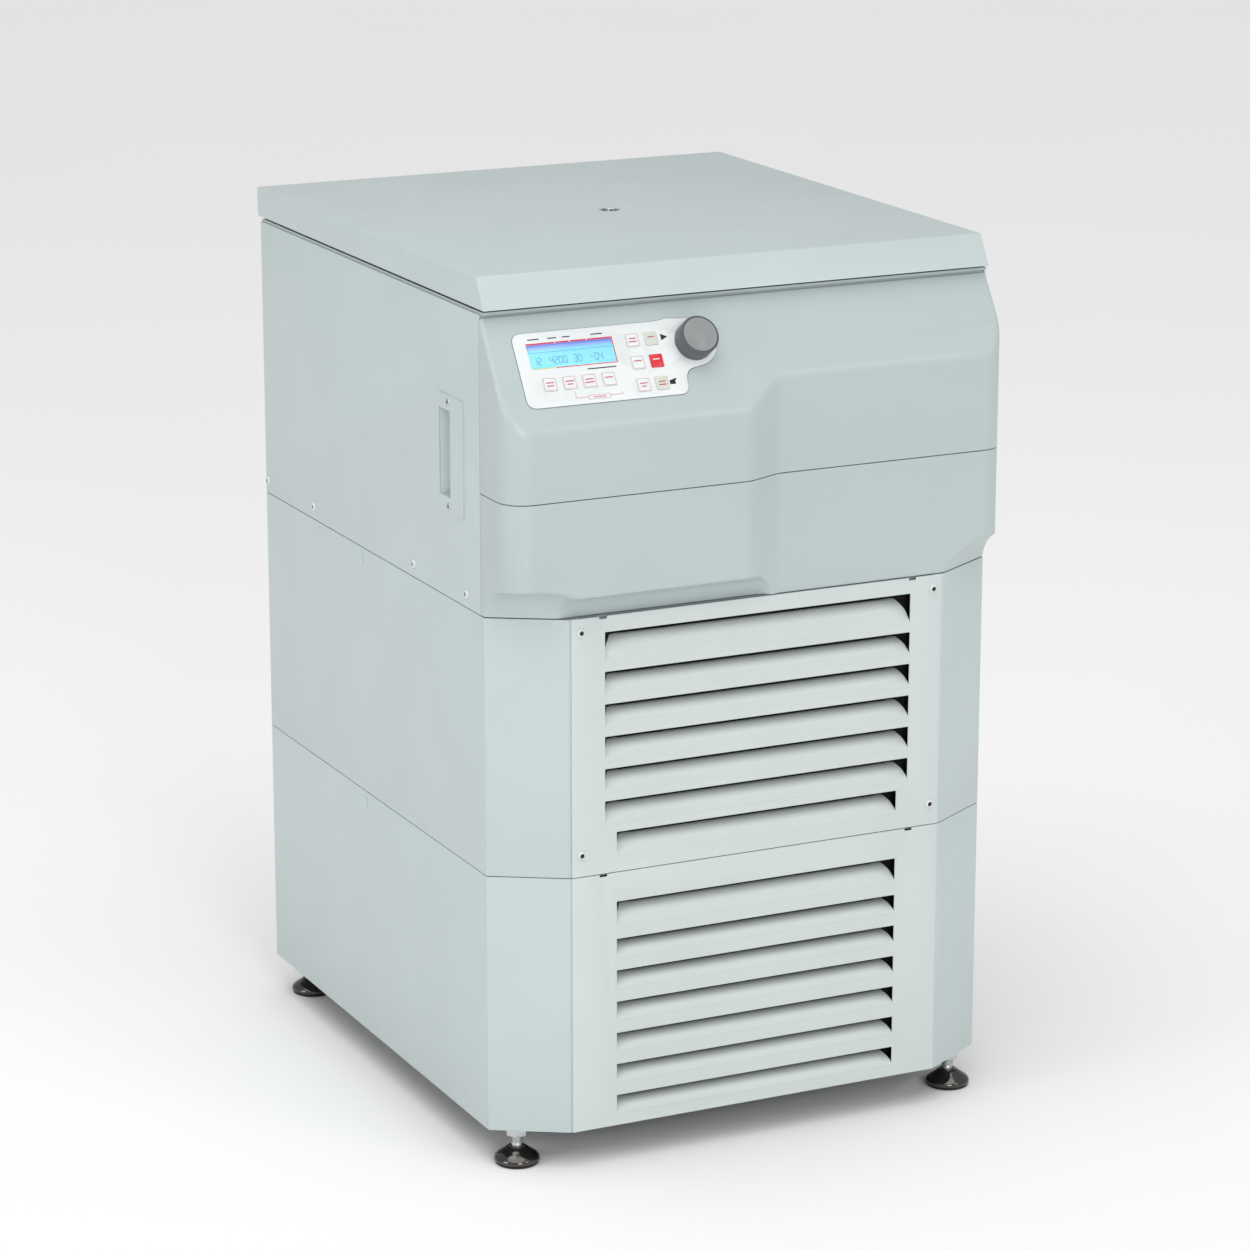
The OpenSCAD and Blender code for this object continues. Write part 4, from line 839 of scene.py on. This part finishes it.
# Black discs in the screw heads are painted shade: they stand for the shadow down in each socket.
marks = [((p[0] + w[0] * 1.3, p[1] + w[1] * 1.3, p[2]), w) for p, w in spots]
marks += [((p[0] + w[0] * 0.75, p[1], p[2]), w) for p, w in small]
fit_on(screws("screw_sockets", marks, 2.2, 0.35, black_ink_and_socket_shade), "panel_screws", stands_for=False)

# %% [markdown]
# ## The lid
# The lid is a shallow box of folded sheet that leans back at the front. Its outside is drawn as a solid,
# its edges are broken by the bend radius, its underside is opened, and the wall is then given inwards. Its
# hinge notches and the hole for the sight port are cut last.

# %% Folded lid
lid_low, lid_high = span("lid_shell")
LID_LEAN = 17
PORT_R = 11
section = [(lid_low.y, lid_low.z - 4), (lid_low.y, lid_low.z), (lid_low.y + LID_LEAN, lid_high.z),
           (lid_high.y, lid_high.z), (lid_high.y, lid_low.z - 4)]
lid_solid = prism("lid_cover", section, lid_low.x, lid_high.x, place=lambda a, b, c: (c, a, b))
lid = add_object("lid_cover", lid_solid, lid_coat)
break_edges(lid, 1.8, segments=4, angle=12)
shape = bmesh.new()
shape.from_mesh(lid.data)
every = shape.verts[:] + shape.edges[:] + shape.faces[:]
bmesh.ops.bisect_plane(shape, geom=every, plane_co=(0, 0, lid_low.z * MM), plane_no=(0, 0, -1), clear_outer=True)
shape.to_mesh(lid.data)
shape.free()
wall = lid.modifiers.new("wall", "SOLIDIFY")
wall.thickness = 2 * MM
wall.offset = -1
settle(lid)
HINGE_X, HINGE_HALF = 170, 28.5
notches = [block((x - HINGE_HALF, lid_high.y - 3, lid_low.z - 3), (x + HINGE_HALF, lid_high.y + 3, lid_low.z + 5.5))
           for x in (-HINGE_X, HINGE_X)]
hole_profile = [(0, lid_high.z - 6), (PORT_R + 0.1, lid_high.z - 6), (PORT_R + 0.1, lid_high.z + 3), (0, lid_high.z + 3)]
port_hole = turned("hole", hole_profile, upright(0, AXIS_Y / MM), 64)
cut_away(lid, port_hole, *notches)
fit_on(lid, "lid_shell")

# %% [markdown]
# ## The sight port
# A short acrylic rod goes through the lid so that a stroboscope can check the speed. Its dark colour is painted
# shade for the dark chamber seen through it; its gloss is the rod's own. Its top stands in a thin pressed steel
# eyelet, which throws a bright ring and a dark inner edge.

# %% Port lens and eyelet
port_low, port_high = span("sight_window")
port_top = port_high.z
lens_profile = [(0, port_top - 1.6), (6.4, port_top - 1.7), (8.4, port_top - 2.2), (8.4, port_low.z), (0, port_low.z)]
lens = turned("sight_lens", lens_profile, upright(0, AXIS_Y / MM), 64)
fit_on(settle(add_object("sight_lens", lens, port_lens)), "sight_window")
eyelet_profile = [(8.5, port_top - 2.6), (8.5, port_top - 0.5), (8.9, port_top - 0.1), (10.2, port_top),
                  (10.9, port_top - 0.25), (11.0, port_top - 2.0), (10.9, port_top - 2.6)]
eyelet = turned("sight_eyelet", eyelet_profile, upright(0, AXIS_Y / MM), 64)
fit_on(settle(add_object("sight_eyelet", eyelet, zinc_plate)), "sight_window", stands_for=False)

# %% [markdown]
# ## The printed overlay
# The keypad is one polyester film, 0.8 mm with its spacer, printed white and glued on the control face. Its
# outline is a rounded panel that runs into a disc round the knob. The outline is found by walking out from
# an inner point in every direction until the joined forms end. A slightly larger, thinner dark sheet below it
# is painted shade: it stands for the fine shadow line round the film. Both are cut out round the keys, which move in
# them.

# %% Film outline and the piece
KNOB = (-62.0, 44.0)
FILM = (-248.0, 19.0, -78.0, 96.0)
KEY = 14.0
KEYS = {1: (-220, 73), 2: (-199.5, 73), 3: (-179, 73), 4: (-158.5, 73), 5: (-124.5, 36.5),
        6: (-124.5, 59.5), 7: (-124.5, 82.5), 8: (-105, 36.5), 9: (-105, 59.5), 10: (-105, 82.5)}


def film_distance(x, y, radius=9, disc=25, soft=22):
    dx = abs(x - (FILM[0] + FILM[2]) / 2) - (FILM[2] - FILM[0]) / 2 + radius
    dy = abs(y - (FILM[1] + FILM[3]) / 2) - (FILM[3] - FILM[1]) / 2 + radius
    panel = math.hypot(max(dx, 0), max(dy, 0)) + min(max(dx, dy), 0) - radius
    ring = math.hypot(x - KNOB[0], y - KNOB[1]) - disc
    mix = max(soft - abs(panel - ring), 0) / soft
    return min(panel, ring) - mix * mix * soft / 4


def film_outline(grow=0.0, steps=360):
    middle = (-125.0, 50.0)
    outline = []
    for s in range(steps):
        way = (math.cos(math.tau * s / steps), math.sin(math.tau * s / steps))
        low, high = 5.0, 160.0
        for _ in range(40):
            reach = (low + high) / 2
            outside = film_distance(middle[0] + way[0] * reach, middle[1] + way[1] * reach) > grow
            low, high = (low, reach) if outside else (reach, high)
        outline.append((middle[0] + way[0] * low, middle[1] + way[1] * low))
    return outline


def sheet_on_panel(name, outline, low, high):
    return prism(name, outline, low, high, place=on_panel)


def key_opening(number, room=0.15):
    x, down = KEYS[number]
    half = KEY / 2 - 0.3 + room
    outline = rounded(box_outline(x - half, down - half, x + half, down + half), 1.2, 4)
    return sheet_on_panel("key_opening", outline, -1, 2)


overlay = add_object("keypad_film", sheet_on_panel("keypad_film", film_outline(-0.5), 0.1, 0.8), film)
cut_away(overlay, *[key_opening(number) for number in KEYS])
fit_on(break_edges(overlay, 0.2, segments=2, angle=60), "control_overlay")
# a thin dark sheet under the film's rim: painted shade for the fine shadow line round it
film_shade_sheet = add_object("film_edge_line", sheet_on_panel("film_edge_line", film_outline(), 0.02, 0.35), shadow_gap)
cut_away(film_shade_sheet, *[key_opening(number) for number in KEYS])
fit_on(settle(film_shade_sheet), "control_overlay", stands_for=False)

# %% [markdown]
# ## Display
# The display shows through a clear window in the film. It is a blue-lit liquid crystal, pale below and
# darker blue at its top edge, so its colour runs up the window by position. A little of the same colour is
# given off as light. Its pane stands slightly above the film and gets a small bevel.

# %% Display glass with a light that fades towards its edges
LCD = (-235.0, 32.0, -146.0, 56.0)
INK_RISE, LCD_RISE, KEY_RISE = 0.82, 0.97, 1.32
lcd_middle = Vector(on_panel((LCD[0] + LCD[2]) / 2, (LCD[1] + LCD[3]) / 2, 1)) * MM
lcd_glass = bpy.data.materials.new("blue_lit_liquid_crystal")
lcd_glass.use_nodes = True
tree = lcd_glass.node_tree
tree.nodes.clear()
place = add_node(tree, "ShaderNodeTexCoord").outputs["Object"]
centred = add_node(tree, "ShaderNodeVectorMath", {0: place, 1: tuple(lcd_middle)}, operation="SUBTRACT")
parts = add_node(tree, "ShaderNodeSeparateXYZ", {"Vector": centred.outputs["Vector"]})
up = add_node(tree, "ShaderNodeMapRange", {"Value": parts.outputs["Z"], "From Min": -0.010, "From Max": 0.010})
ramp = add_node(tree, "ShaderNodeValToRGB", {"Fac": up.outputs["Result"]})
ramp.color_ramp.elements[0].color = linear("#84DCEC")
ramp.color_ramp.elements[1].color = linear("#7478D8")
for at, colour in ((0.15, "#92E2F0"), (0.7, "#8CDCF0"), (0.84, "#8FAEEC")):
    ramp.color_ramp.elements.new(at).color = linear(colour)
body = add_node(tree, "ShaderNodeBsdfPrincipled", {
    "Base Color": ramp.outputs["Color"], "Roughness": 0.12, "IOR": 1.5,
    "Emission Color": ramp.outputs["Color"], "Emission Strength": 0.04})
add_node(tree, "ShaderNodeOutputMaterial", {"Surface": body.outputs["BSDF"]})

pane = sheet_on_panel("display_glass", rounded(box_outline(*LCD), 1.2, 3), 0.3, 0.95)
window = add_object("display_glass", pane, lcd_glass)
fit_on(break_edges(window, 0.15, segments=2, angle=60), "display_window")

# %% [markdown]
# ## Ink on the film
# Print is a few hundredths of a millimetre thick. It is made of flat shapes that stand 0.05 mm above the
# film, which is coarser than real ink but keeps the two faces apart. No words are printed: the marks are
# bars, frames, a triangle and a lid sign, and the display shows a speed, a time and a temperature.

# %% Frames, bars and seven-segment numbers
def bar(x0, y0, x1, y1, rise, thick=0.05):
    return prism("bar", box_outline(x0, y0, x1, y1), rise, rise + thick, place=on_panel)


def frame_marks(x0, y0, x1, y1, line, rise):
    return [bar(x0, y0, x1, y0 + line, rise), bar(x0, y1 - line, x1, y1, rise),
            bar(x0, y0 + line, x0 + line, y1 - line, rise), bar(x1 - line, y0 + line, x1, y1 - line, rise)]


SEGMENTS = {"0": "abcdef", "1": "bc", "2": "abged", "3": "abgcd", "4": "fgbc", "5": "afgcd", "6": "afgedc",
            "7": "abc", "8": "abcdefg", "9": "abcdfg", "-": "g", " ": ""}


def number_marks(text, x, y, width, height, rise, line=0.55):
    spots = {"a": (0, 0, 1, 0), "g": (0, 0.5, 1, 0.5), "d": (0, 1, 1, 1), "f": (0, 0, 0, 0.5), "b": (1, 0, 1, 0.5),
             "e": (0, 0.5, 0, 1), "c": (1, 0.5, 1, 1)}
    marks = []
    for i, digit in enumerate(text):
        for name in SEGMENTS[digit]:
            x0, y0, x1, y1 = spots[name]
            left = x + i * width * 1.5
            grow_x, grow_y = [line / 2 if same else -line / 2 for same in (x0 == x1, y0 == y1)]
            marks.append(bar(left + x0 * width - grow_x, y + y0 * height - grow_y,
                             left + x1 * width + grow_x, y + y1 * height + grow_y, rise))
    return marks


def ink(name, meshes, material, node="control_overlay"):
    piece = add_object(name, bpy.data.meshes.new(name), material)
    return fit_on(settle(join(piece, *meshes)), node, stands_for=False)


numbers = [mark for text, x in (("12", -231), ("4200", -214), ("30", -189), ("-04", -172))
           for mark in number_marks(text, x, 45.5, 3.2, 7, LCD_RISE)]
numbers += frame_marks(LCD[0] + 1, LCD[1] + 1, LCD[2] - 1, LCD[1] + 8.4, 0.35, LCD_RISE)
ink("display_numbers", numbers, lcd_ink, "display_window")
red_line = [bar(x0, LCD[1] - 1.5, x1, LCD[1] - 0.1, INK_RISE)
            for x0, x1 in ((LCD[0], -205), (-204, -190), (-189, -172), (-171, LCD[2] + 1))]
red_line += [bar(LCD[2] + 0.1, LCD[1] - 0.1, LCD[2] + 1, LCD[3] + 1, INK_RISE),
             bar(LCD[0] + 26, LCD[3] + 0.2, LCD[2] + 0.1, LCD[3] + 1.0, INK_RISE)]
ink("display_red_bars", red_line, red_film)
yellow_ink = finish("yellow_screen_ink", "#D8C860", 0.45, drift=0.1, drift_mm=3, relief_mm=0.004)
ink("display_yellow_bar", [bar(LCD[0] + 2, LCD[3] + 0.2, LCD[0] + 26, LCD[3] + 0.9, INK_RISE)], yellow_ink)
labels = [(-232, 26, 12), (-211, 26, 9), (-196, 26, 8), (-166, 26, 12), (-178, 60.5, 30)]
ink("display_legend_bars", [bar(x, y, x + w, y + 1.1, INK_RISE) for x, y, w in labels], black_ink_and_socket_shade)

# %% Printed signs beside the keys
triangle = [(-94.5, 32.6), (-87.5, 36.0), (-94.5, 39.4)]
lid_sign = [(-97, 84.6), (-97, 80.6), (-89.5, 78.6), (-89.5, 80.4), (-91, 80.9), (-91, 84.6)]
ink("printed_signs", [sheet_on_panel("sign", sign, INK_RISE, INK_RISE + 0.05) for sign in (triangle, lid_sign)], black_ink_and_socket_shade)
bracket = frame_marks(-184, 87.4, -161, 91.6, 0.35, INK_RISE)
bracket += [bar(*corners, INK_RISE) for corners in (
    (-179, 89.1, -166, 89.9), (-197, 82.0, -196.6, 89.2), (-197, 88.8, -184, 89.2), (-161, 88.8, -148, 89.2),
    (-148.4, 86.6, -148, 89.2))]
ink("printed_bracket", bracket, red_ink)

# %% [markdown]
# ## Keys
# Each key is a square cushion of film over a dome, so it gets a soft rim. Its frame and its two short marks
# are part of the same piece, because they go down with it. One key is red and one is pale green-grey.

# %% Key caps
KEY_FILM = {8: grey_film, 9: red_film, 10: grey_film}
KEY_MARKS = {1: (8, 7), 2: (9, 6), 3: (8, 9), 4: (8,), 5: (7, 8), 6: (8,), 7: (8, 5), 8: (7,), 9: (7,), 10: (7, 8)}
for number, (x, down) in KEYS.items():
    half = KEY / 2 - 0.3
    outline = rounded(box_outline(x - half, down - half, x + half, down + half), 1.1, 4)
    cap = add_object(f"key_cap_{number}", sheet_on_panel("cap", outline, 0.65, KEY_RISE), KEY_FILM.get(number, film))
    break_edges(cap, 0.2, segments=2, angle=60)
    marks, inner = [], half - 0.5
    if number not in KEY_FILM:
        marks += frame_marks(x - inner, down - inner, x + inner, down + inner, 0.3, KEY_RISE)
    for row, length in enumerate(KEY_MARKS[number]):
        top = down - 2.2 + row * 3.2
        marks.append(bar(x - length / 2, top, x + length / 2, top + 1.1, KEY_RISE))
    first = len(cap.data.polygons)
    join(cap, *marks)
    cap.data.materials.append(film if number == 9 else red_ink)
    for face in list(cap.data.polygons)[first:]:
        face.material_index = 1
    fit_on(cap, f"key_{number}")

# %% [markdown]
# ## The setting knob
# The knob is a hollow ABS moulding: a dark skirt, and a paler cap with a finger dimple. The face is
# made of rings, and each point near the dimple sinks by a soft rule, so it has a round floor without cutting.

# %% Knob skirt and dimpled cap
KNOB_R, KNOB_H = 19.5, 19.0
KNOB_FACE = 1.4 + KNOB_H


def around_knob(x, y, z):
    return on_panel(KNOB[0] + x, KNOB[1] + y, z)


skirt_profile = [(0, 1.5), (KNOB_R - 0.8, 1.5), (KNOB_R, 2.3), (KNOB_R, KNOB_FACE - 2.4),
                 (KNOB_R - 0.15, KNOB_FACE - 1.6), (KNOB_R - 0.7, KNOB_FACE - 0.8),
                 (KNOB_R - 1.6, KNOB_FACE - 0.45), (KNOB_R - 2.1, KNOB_FACE - 3.0), (0, KNOB_FACE - 3.0)]
skirt = add_object("knob_skirt", turned("skirt", skirt_profile, around_knob, 120), knob_side)
fit_on(settle(skirt, 60), "setting_knob")
DIMPLE = (-KNOB_R * 0.3, KNOB_R * 0.34)
DIMPLE_R = 9.5


def cap_height(x, y):
    away = math.hypot(x - DIMPLE[0], y - DIMPLE[1])
    sink = 1.3 * max(0.0, 1 - (away / DIMPLE_R) ** 2) ** 1.5
    edge = math.hypot(x, y) / CAP_R
    return KNOB_FACE - 0.15 - sink - 0.4 * edge ** 6


RINGS, STEPS = 22, 96
CAP_R = KNOB_R - 2.2


def cap_ring(radius, height=None):
    spots = [(radius * math.cos(math.tau * s / STEPS), radius * math.sin(math.tau * s / STEPS)) for s in range(STEPS)]
    return [around_knob(x, y, cap_height(x, y) if height is None else height) for x, y in spots]


points = [around_knob(0, 0, cap_height(0, 0))]
for ring in range(1, RINGS + 1):
    points += cap_ring(CAP_R * ring / RINGS)
points += cap_ring(CAP_R, KNOB_FACE - 2.4)
faces = [[0, 1 + s, 1 + (s + 1) % STEPS] for s in range(STEPS)]
for base in range(1, 1 + RINGS * STEPS, STEPS):
    faces += [[base + s, base + STEPS + s, base + STEPS + (s + 1) % STEPS, base + (s + 1) % STEPS] for s in range(STEPS)]
faces.append(list(range(1 + RINGS * STEPS, 1 + (RINGS + 1) * STEPS))[::-1])
cap = add_object("knob_cap", mesh_of("knob_cap", points, faces), knob_cap)
fit_on(settle(cap, 60), "setting_knob", stands_for=False)

# %% [markdown]
# ## Levelling feet
# A foot is a pressed, smoked-chrome disc on a rubber ring, with a threaded stem and a hexagon to turn it
# by. The thread follows a helix, so a tree sweeps a small triangle along one: its inputs are the radius,
# the pitch and the number of turns. The disc is turned from a profile with a soft shoulder.

# %% Thread tree and the four feet
thread_tree, given = new_tree("swept_thread", ("Radius", "Float"), ("Height", "Float"), ("Turns", "Float"),
                              ("Tooth", "Float"), ("Finish", "Material"))
helix = add_node(thread_tree, "GeometryNodeCurveSpiral", {
    "Resolution": 24, "Rotations": given["Turns"], "Start Radius": given["Radius"],
    "End Radius": given["Radius"], "Height": given["Height"]})
tooth = add_node(thread_tree, "GeometryNodeCurvePrimitiveCircle", {
    "Resolution": 3, "Radius": given["Tooth"]}, mode="RADIUS")
swept = add_node(thread_tree, "GeometryNodeCurveToMesh", {
    "Curve": helix.outputs["Curve"], "Profile Curve": tooth.outputs["Curve"], "Fill Caps": True})
finish_tree(thread_tree, swept.outputs["Mesh"], given["Finish"])

STEM_R = 6.0
THREAD_PITCH = 1.75
HEX_R = 11.2
FOOT_H = span("lower_wrap")[0].z
disc_profile = [(0, 2.2), (19.0, 2.2), (21.5, 2.4), (22.6, 3.4), (22.95, 4.8), (22.6, 6.4), (21.2, 8.3),
                (18.6, 10.4), (15.2, 12.6), (12.6, 14.4), (11.2, 15.6), (9.6, 16.6), (8.2, 17.0), (7.9, 17.9), (0, 17.9)]
rubber_profile = [(0, 0), (20.6, 0), (21.4, 0.5), (21.6, 1.4), (21.2, 2.3), (0, 2.3)]
stem_profile = [(0, 17.5), (5.2, 17.5), (5.4, 18.4), (5.4, FOOT_H + 18.8), (4.6, FOOT_H + 19.9), (0, FOOT_H + 19.9)]
thread_h = FOOT_H + 0.5
thread_sizes = {"Radius": (STEM_R - 0.75) * MM, "Height": thread_h * MM, "Turns": thread_h / THREAD_PITCH,
                "Tooth": 0.7 * MM, "Finish": zinc_plate}
hexagon = [(HEX_R * math.cos(math.tau * s / 6), HEX_R * math.sin(math.tau * s / 6)) for s in range(6)]
for node in ("foot_front_left", "foot_front_right", "foot_rear_left", "foot_rear_right"):
    low, high = span(node)
    at = upright((low.x + high.x) / 2, (low.y + high.y) / 2)
    disc = add_object(node + "_disc", turned("disc", disc_profile, at, 72), dark_chrome)
    fit_on(settle(disc, 40), node)
    pad = add_object(node + "_pad", turned("pad", rubber_profile, at, 72), rubber)
    fit_on(settle(pad, 50), node, stands_for=False)
    stem = add_object(node + "_stem", turned("stem", stem_profile, at, 32), zinc_plate)
    nut = add_object("nut", prism("nut", hexagon, FOOT_H - 9, FOOT_H - 1, place=at), zinc_plate)
    break_edges(nut, 0.7, segments=2, angle=50)
    thread = run_tree("thread", thread_tree, thread_sizes)
    thread.data.transform(Matrix.Translation(Vector(at(0, 0, 18.2)) * MM))
    join(stem, nut.data, thread.data)
    for used in (nut, thread):
        bpy.data.objects.remove(used)
    fit_on(settle(stem, 30), node, stands_for=False)

# %% [markdown]
# ## Frame pieces with their edges broken
# Brackets, guides, castings and machined pieces have the right shape in the frame already, but no real one
# has a knife edge. A copy is merged, its flat faces are cleaned and a small bevel is given to it, about
# half a millimetre on sheet and one on castings. Weighted normals then keep large faces flat up to their
# bevels, and the copy stands for the node. The bowl, the coil and the pipes are round already, and keep
# their own shape with a finish.

# %% Softened copies
def softened(node, name, material, width, clean_deg=0.4):
    shape = bmesh.new()
    shape.from_mesh(frame["nodes"][node].data)
    bmesh.ops.remove_doubles(shape, verts=shape.verts, dist=5e-6)
    bmesh.ops.dissolve_limit(shape, angle_limit=math.radians(clean_deg), verts=shape.verts, edges=shape.edges)
    mesh = bpy.data.meshes.new(name)
    shape.to_mesh(mesh)
    shape.free()
    piece = add_object(name, mesh, material)
    break_edges(piece, width, segments=2, angle=40)
    piece.modifiers.new("flat_faces_stay_flat", "WEIGHTED_NORMAL").keep_sharp = True
    return fit_on(settle(piece), node)


SOFTENED = {
    "handle_plates": ("finger_pocket_plates", side_coat, 0.4), "top_deck": ("chamber_deck", deck_coat_darkened_for_shade, 0.8),
    "rear_grille": ("rear_vent_plate", side_coat, 0.3), "base_frame": ("welded_frame", primer, 0.6),
    "rotor_cross": ("swing_out_rotor", clear_anodised, 0.8), "drive_shaft": ("drive_spindle", ground_steel, 0.4),
    "bucket_1": ("swing_bucket_1", grey_anodised, 0.6), "bucket_2": ("swing_bucket_2", grey_anodised, 0.6),
    "bucket_3": ("swing_bucket_3", grey_anodised, 0.6), "bucket_4": ("swing_bucket_4", grey_anodised, 0.6),
    "lid_liner": ("lid_inner_sheet", liner_coat, 0.3), "lid_hinges": ("hinge_leaves", zinc_plate, 0.3),
    "hinge_brackets": ("hinge_knuckles", zinc_plate, 0.3), "lid_strikers": ("striker_hooks", zinc_plate, 0.3),
    "lock_bar": ("latch_bar", zinc_plate, 0.3), "lock_guides": ("latch_guides", primer, 0.5),
    "strut_rods": ("strut_piston_rods", ground_steel, 0.2), "strut_cylinders": ("gas_spring_tubes", black_enamel, 0.5),
    "guard_ring": ("steel_guard_ring", primer, 1.0), "chamber_gasket": ("chamber_seal", rubber, 0.8),
    "drive_motor": ("motor_housing", black_enamel, 0.8), "motor_mounts": ("motor_dampers", rubber, 0.5),
    "compressor": ("compressor_shell", black_enamel, 1.0), "condenser": ("condenser_core", mill_aluminium, 0.4),
    "fan_shroud": ("fan_duct", nylon, 0.6), "condenser_fan": ("fan_wheel", nylon, 0.3),
    "drive_inverter": ("inverter_case", mill_aluminium, 0.8), "power_inlet": ("mains_inlet", nylon, 0.4),
    "mains_rocker": ("rocker_cap", rocker_black, 0.5), "control_board": ("circuit_board", board_green, 0.2)}
for node, (name, material, width) in SOFTENED.items():
    softened(node, name, material, width)
for node, material in {"chamber_bowl": bowl_steel, "evaporator_coil": copper, "refrigerant_pipes": copper}.items():
    mesh = frame["nodes"][node].data
    mesh.materials.clear()
    mesh.materials.append(material)
    print(node, "keeps its own shape")

# %% [markdown]
# ## The strip under the lid
# A black rubber strip runs round the deck, 2 mm in from its edge, and the lid closes on it. It is painted
# shade: its black stands for the shadow in the gap all round under the lid. Its section has a rounded top.

# %% Edge strip
deck_low, deck_high = span("top_deck")
STRIP_IN, STRIP_W, HINGE_ROOM = 2.0, 5.0, 40


def strip_line(inset):
    return box_outline(deck_low.x + STRIP_IN + inset, deck_low.y + STRIP_IN + 0.5 + inset,
                       deck_high.x - STRIP_IN - inset, deck_high.y - HINGE_ROOM - inset)


corners, inner = strip_line(0), strip_line(STRIP_W)
# a black strip in the gap under the lid: painted shade for the shadow there
strip = add_object("lid_edge_strip", prism("strip", rounded(corners, 6, 5), deck_high.z, lid_low.z - 0.15), rubber)
cut_away(strip, prism("middle", rounded(inner, 3, 5), deck_high.z - 2, lid_low.z + 2))
break_edges(strip, 0.7, segments=3, angle=60)
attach(strip, home["top_deck"])
print(strip.name, "with", len(strip.data.polygons), "faces")

# %% [markdown]
# ## Floor, light and camera
# A plain pale floor takes a soft contact shadow. As in a product studio, one large soft light stands in
# front, a second fills the left side, a narrow one on the right draws the front edges, and a soft sun with
# a pale surround keeps shadows open. The Standard view keeps the paint as pale as its colour value says.
# The camera stands a good way off with a long lens, which keeps upright edges nearly parallel.

# %% Floor
floor_mesh = bpy.data.meshes.new("studio_floor")
floor_mesh.from_pydata([(-12, -12, 0), (12, -12, 0), (12, 12, 0), (-12, 12, 0)], [], [(0, 1, 2, 3)])
floor_paint = finish("matt_studio_floor", "#F4F4F3", 0.9, drift=0.01, drift_mm=900, grain_mm=6, relief_mm=0.01)
floor = add_object("studio_floor", floor_mesh, floor_paint)
print(floor.name, "is part of the stage")

# %% Lights
def soft_light(name, spot, aim, size, power):
    data = bpy.data.lights.new(name, "AREA")
    data.shape = "RECTANGLE"
    data.size, data.size_y = size
    data.energy = power
    lamp = bpy.data.objects.new(name, data)
    lamp.location = spot
    lamp.rotation_euler = (Vector(aim) - Vector(spot)).to_track_quat("-Z", "Y").to_euler()
    bpy.context.scene.collection.objects.link(lamp)
    return lamp


middle = (0, 0, 0.5)
soft_light("key_light", (-0.9, -4.7, 2.0), middle, (1.5, 1.3), 52)
soft_light("side_fill", (-4.4, -0.6, 1.8), middle, (1.6, 1.6), 30)
soft_light("edge_light", (2.1, -3.9, 3.1), (0, -0.3, 0.75), (1.5, 0.45), 17)
soft_light("top_light", (-0.6, 1.0, 4.0), middle, (2.6, 2.6), 16)
sun = bpy.data.lights.new("open_sky", "SUN")
sun.energy = 1.15
sun.angle = math.radians(60)
sky = bpy.data.objects.new("open_sky", sun)
sky.rotation_euler = (math.radians(15), math.radians(-10), 0)
bpy.context.scene.collection.objects.link(sky)
bpy.context.scene.view_settings.view_transform = "Standard"
world = bpy.data.worlds.new("pale_surround")
world.use_nodes = True
world.node_tree.nodes["Background"].inputs["Color"].default_value = linear("#F4F5F5")
world.node_tree.nodes["Background"].inputs["Strength"].default_value = 0.55
bpy.context.scene.world = world

# %% Camera
camera_data = bpy.data.cameras.new("camera")
camera_data.sensor_width = 36
camera_data.lens = 124.5
camera_data.clip_end = 60
camera = bpy.data.objects.new("camera", camera_data)
camera.location = (-1.881, -3.915, 1.639)
camera.rotation_euler = (math.radians(90 - 15.22), 0, math.radians(-25.68))
bpy.context.scene.collection.objects.link(camera)
bpy.context.scene.camera = camera
print("camera", round(Vector(camera.location).length, 2), "m from the origin, lens", camera_data.lens, "mm")
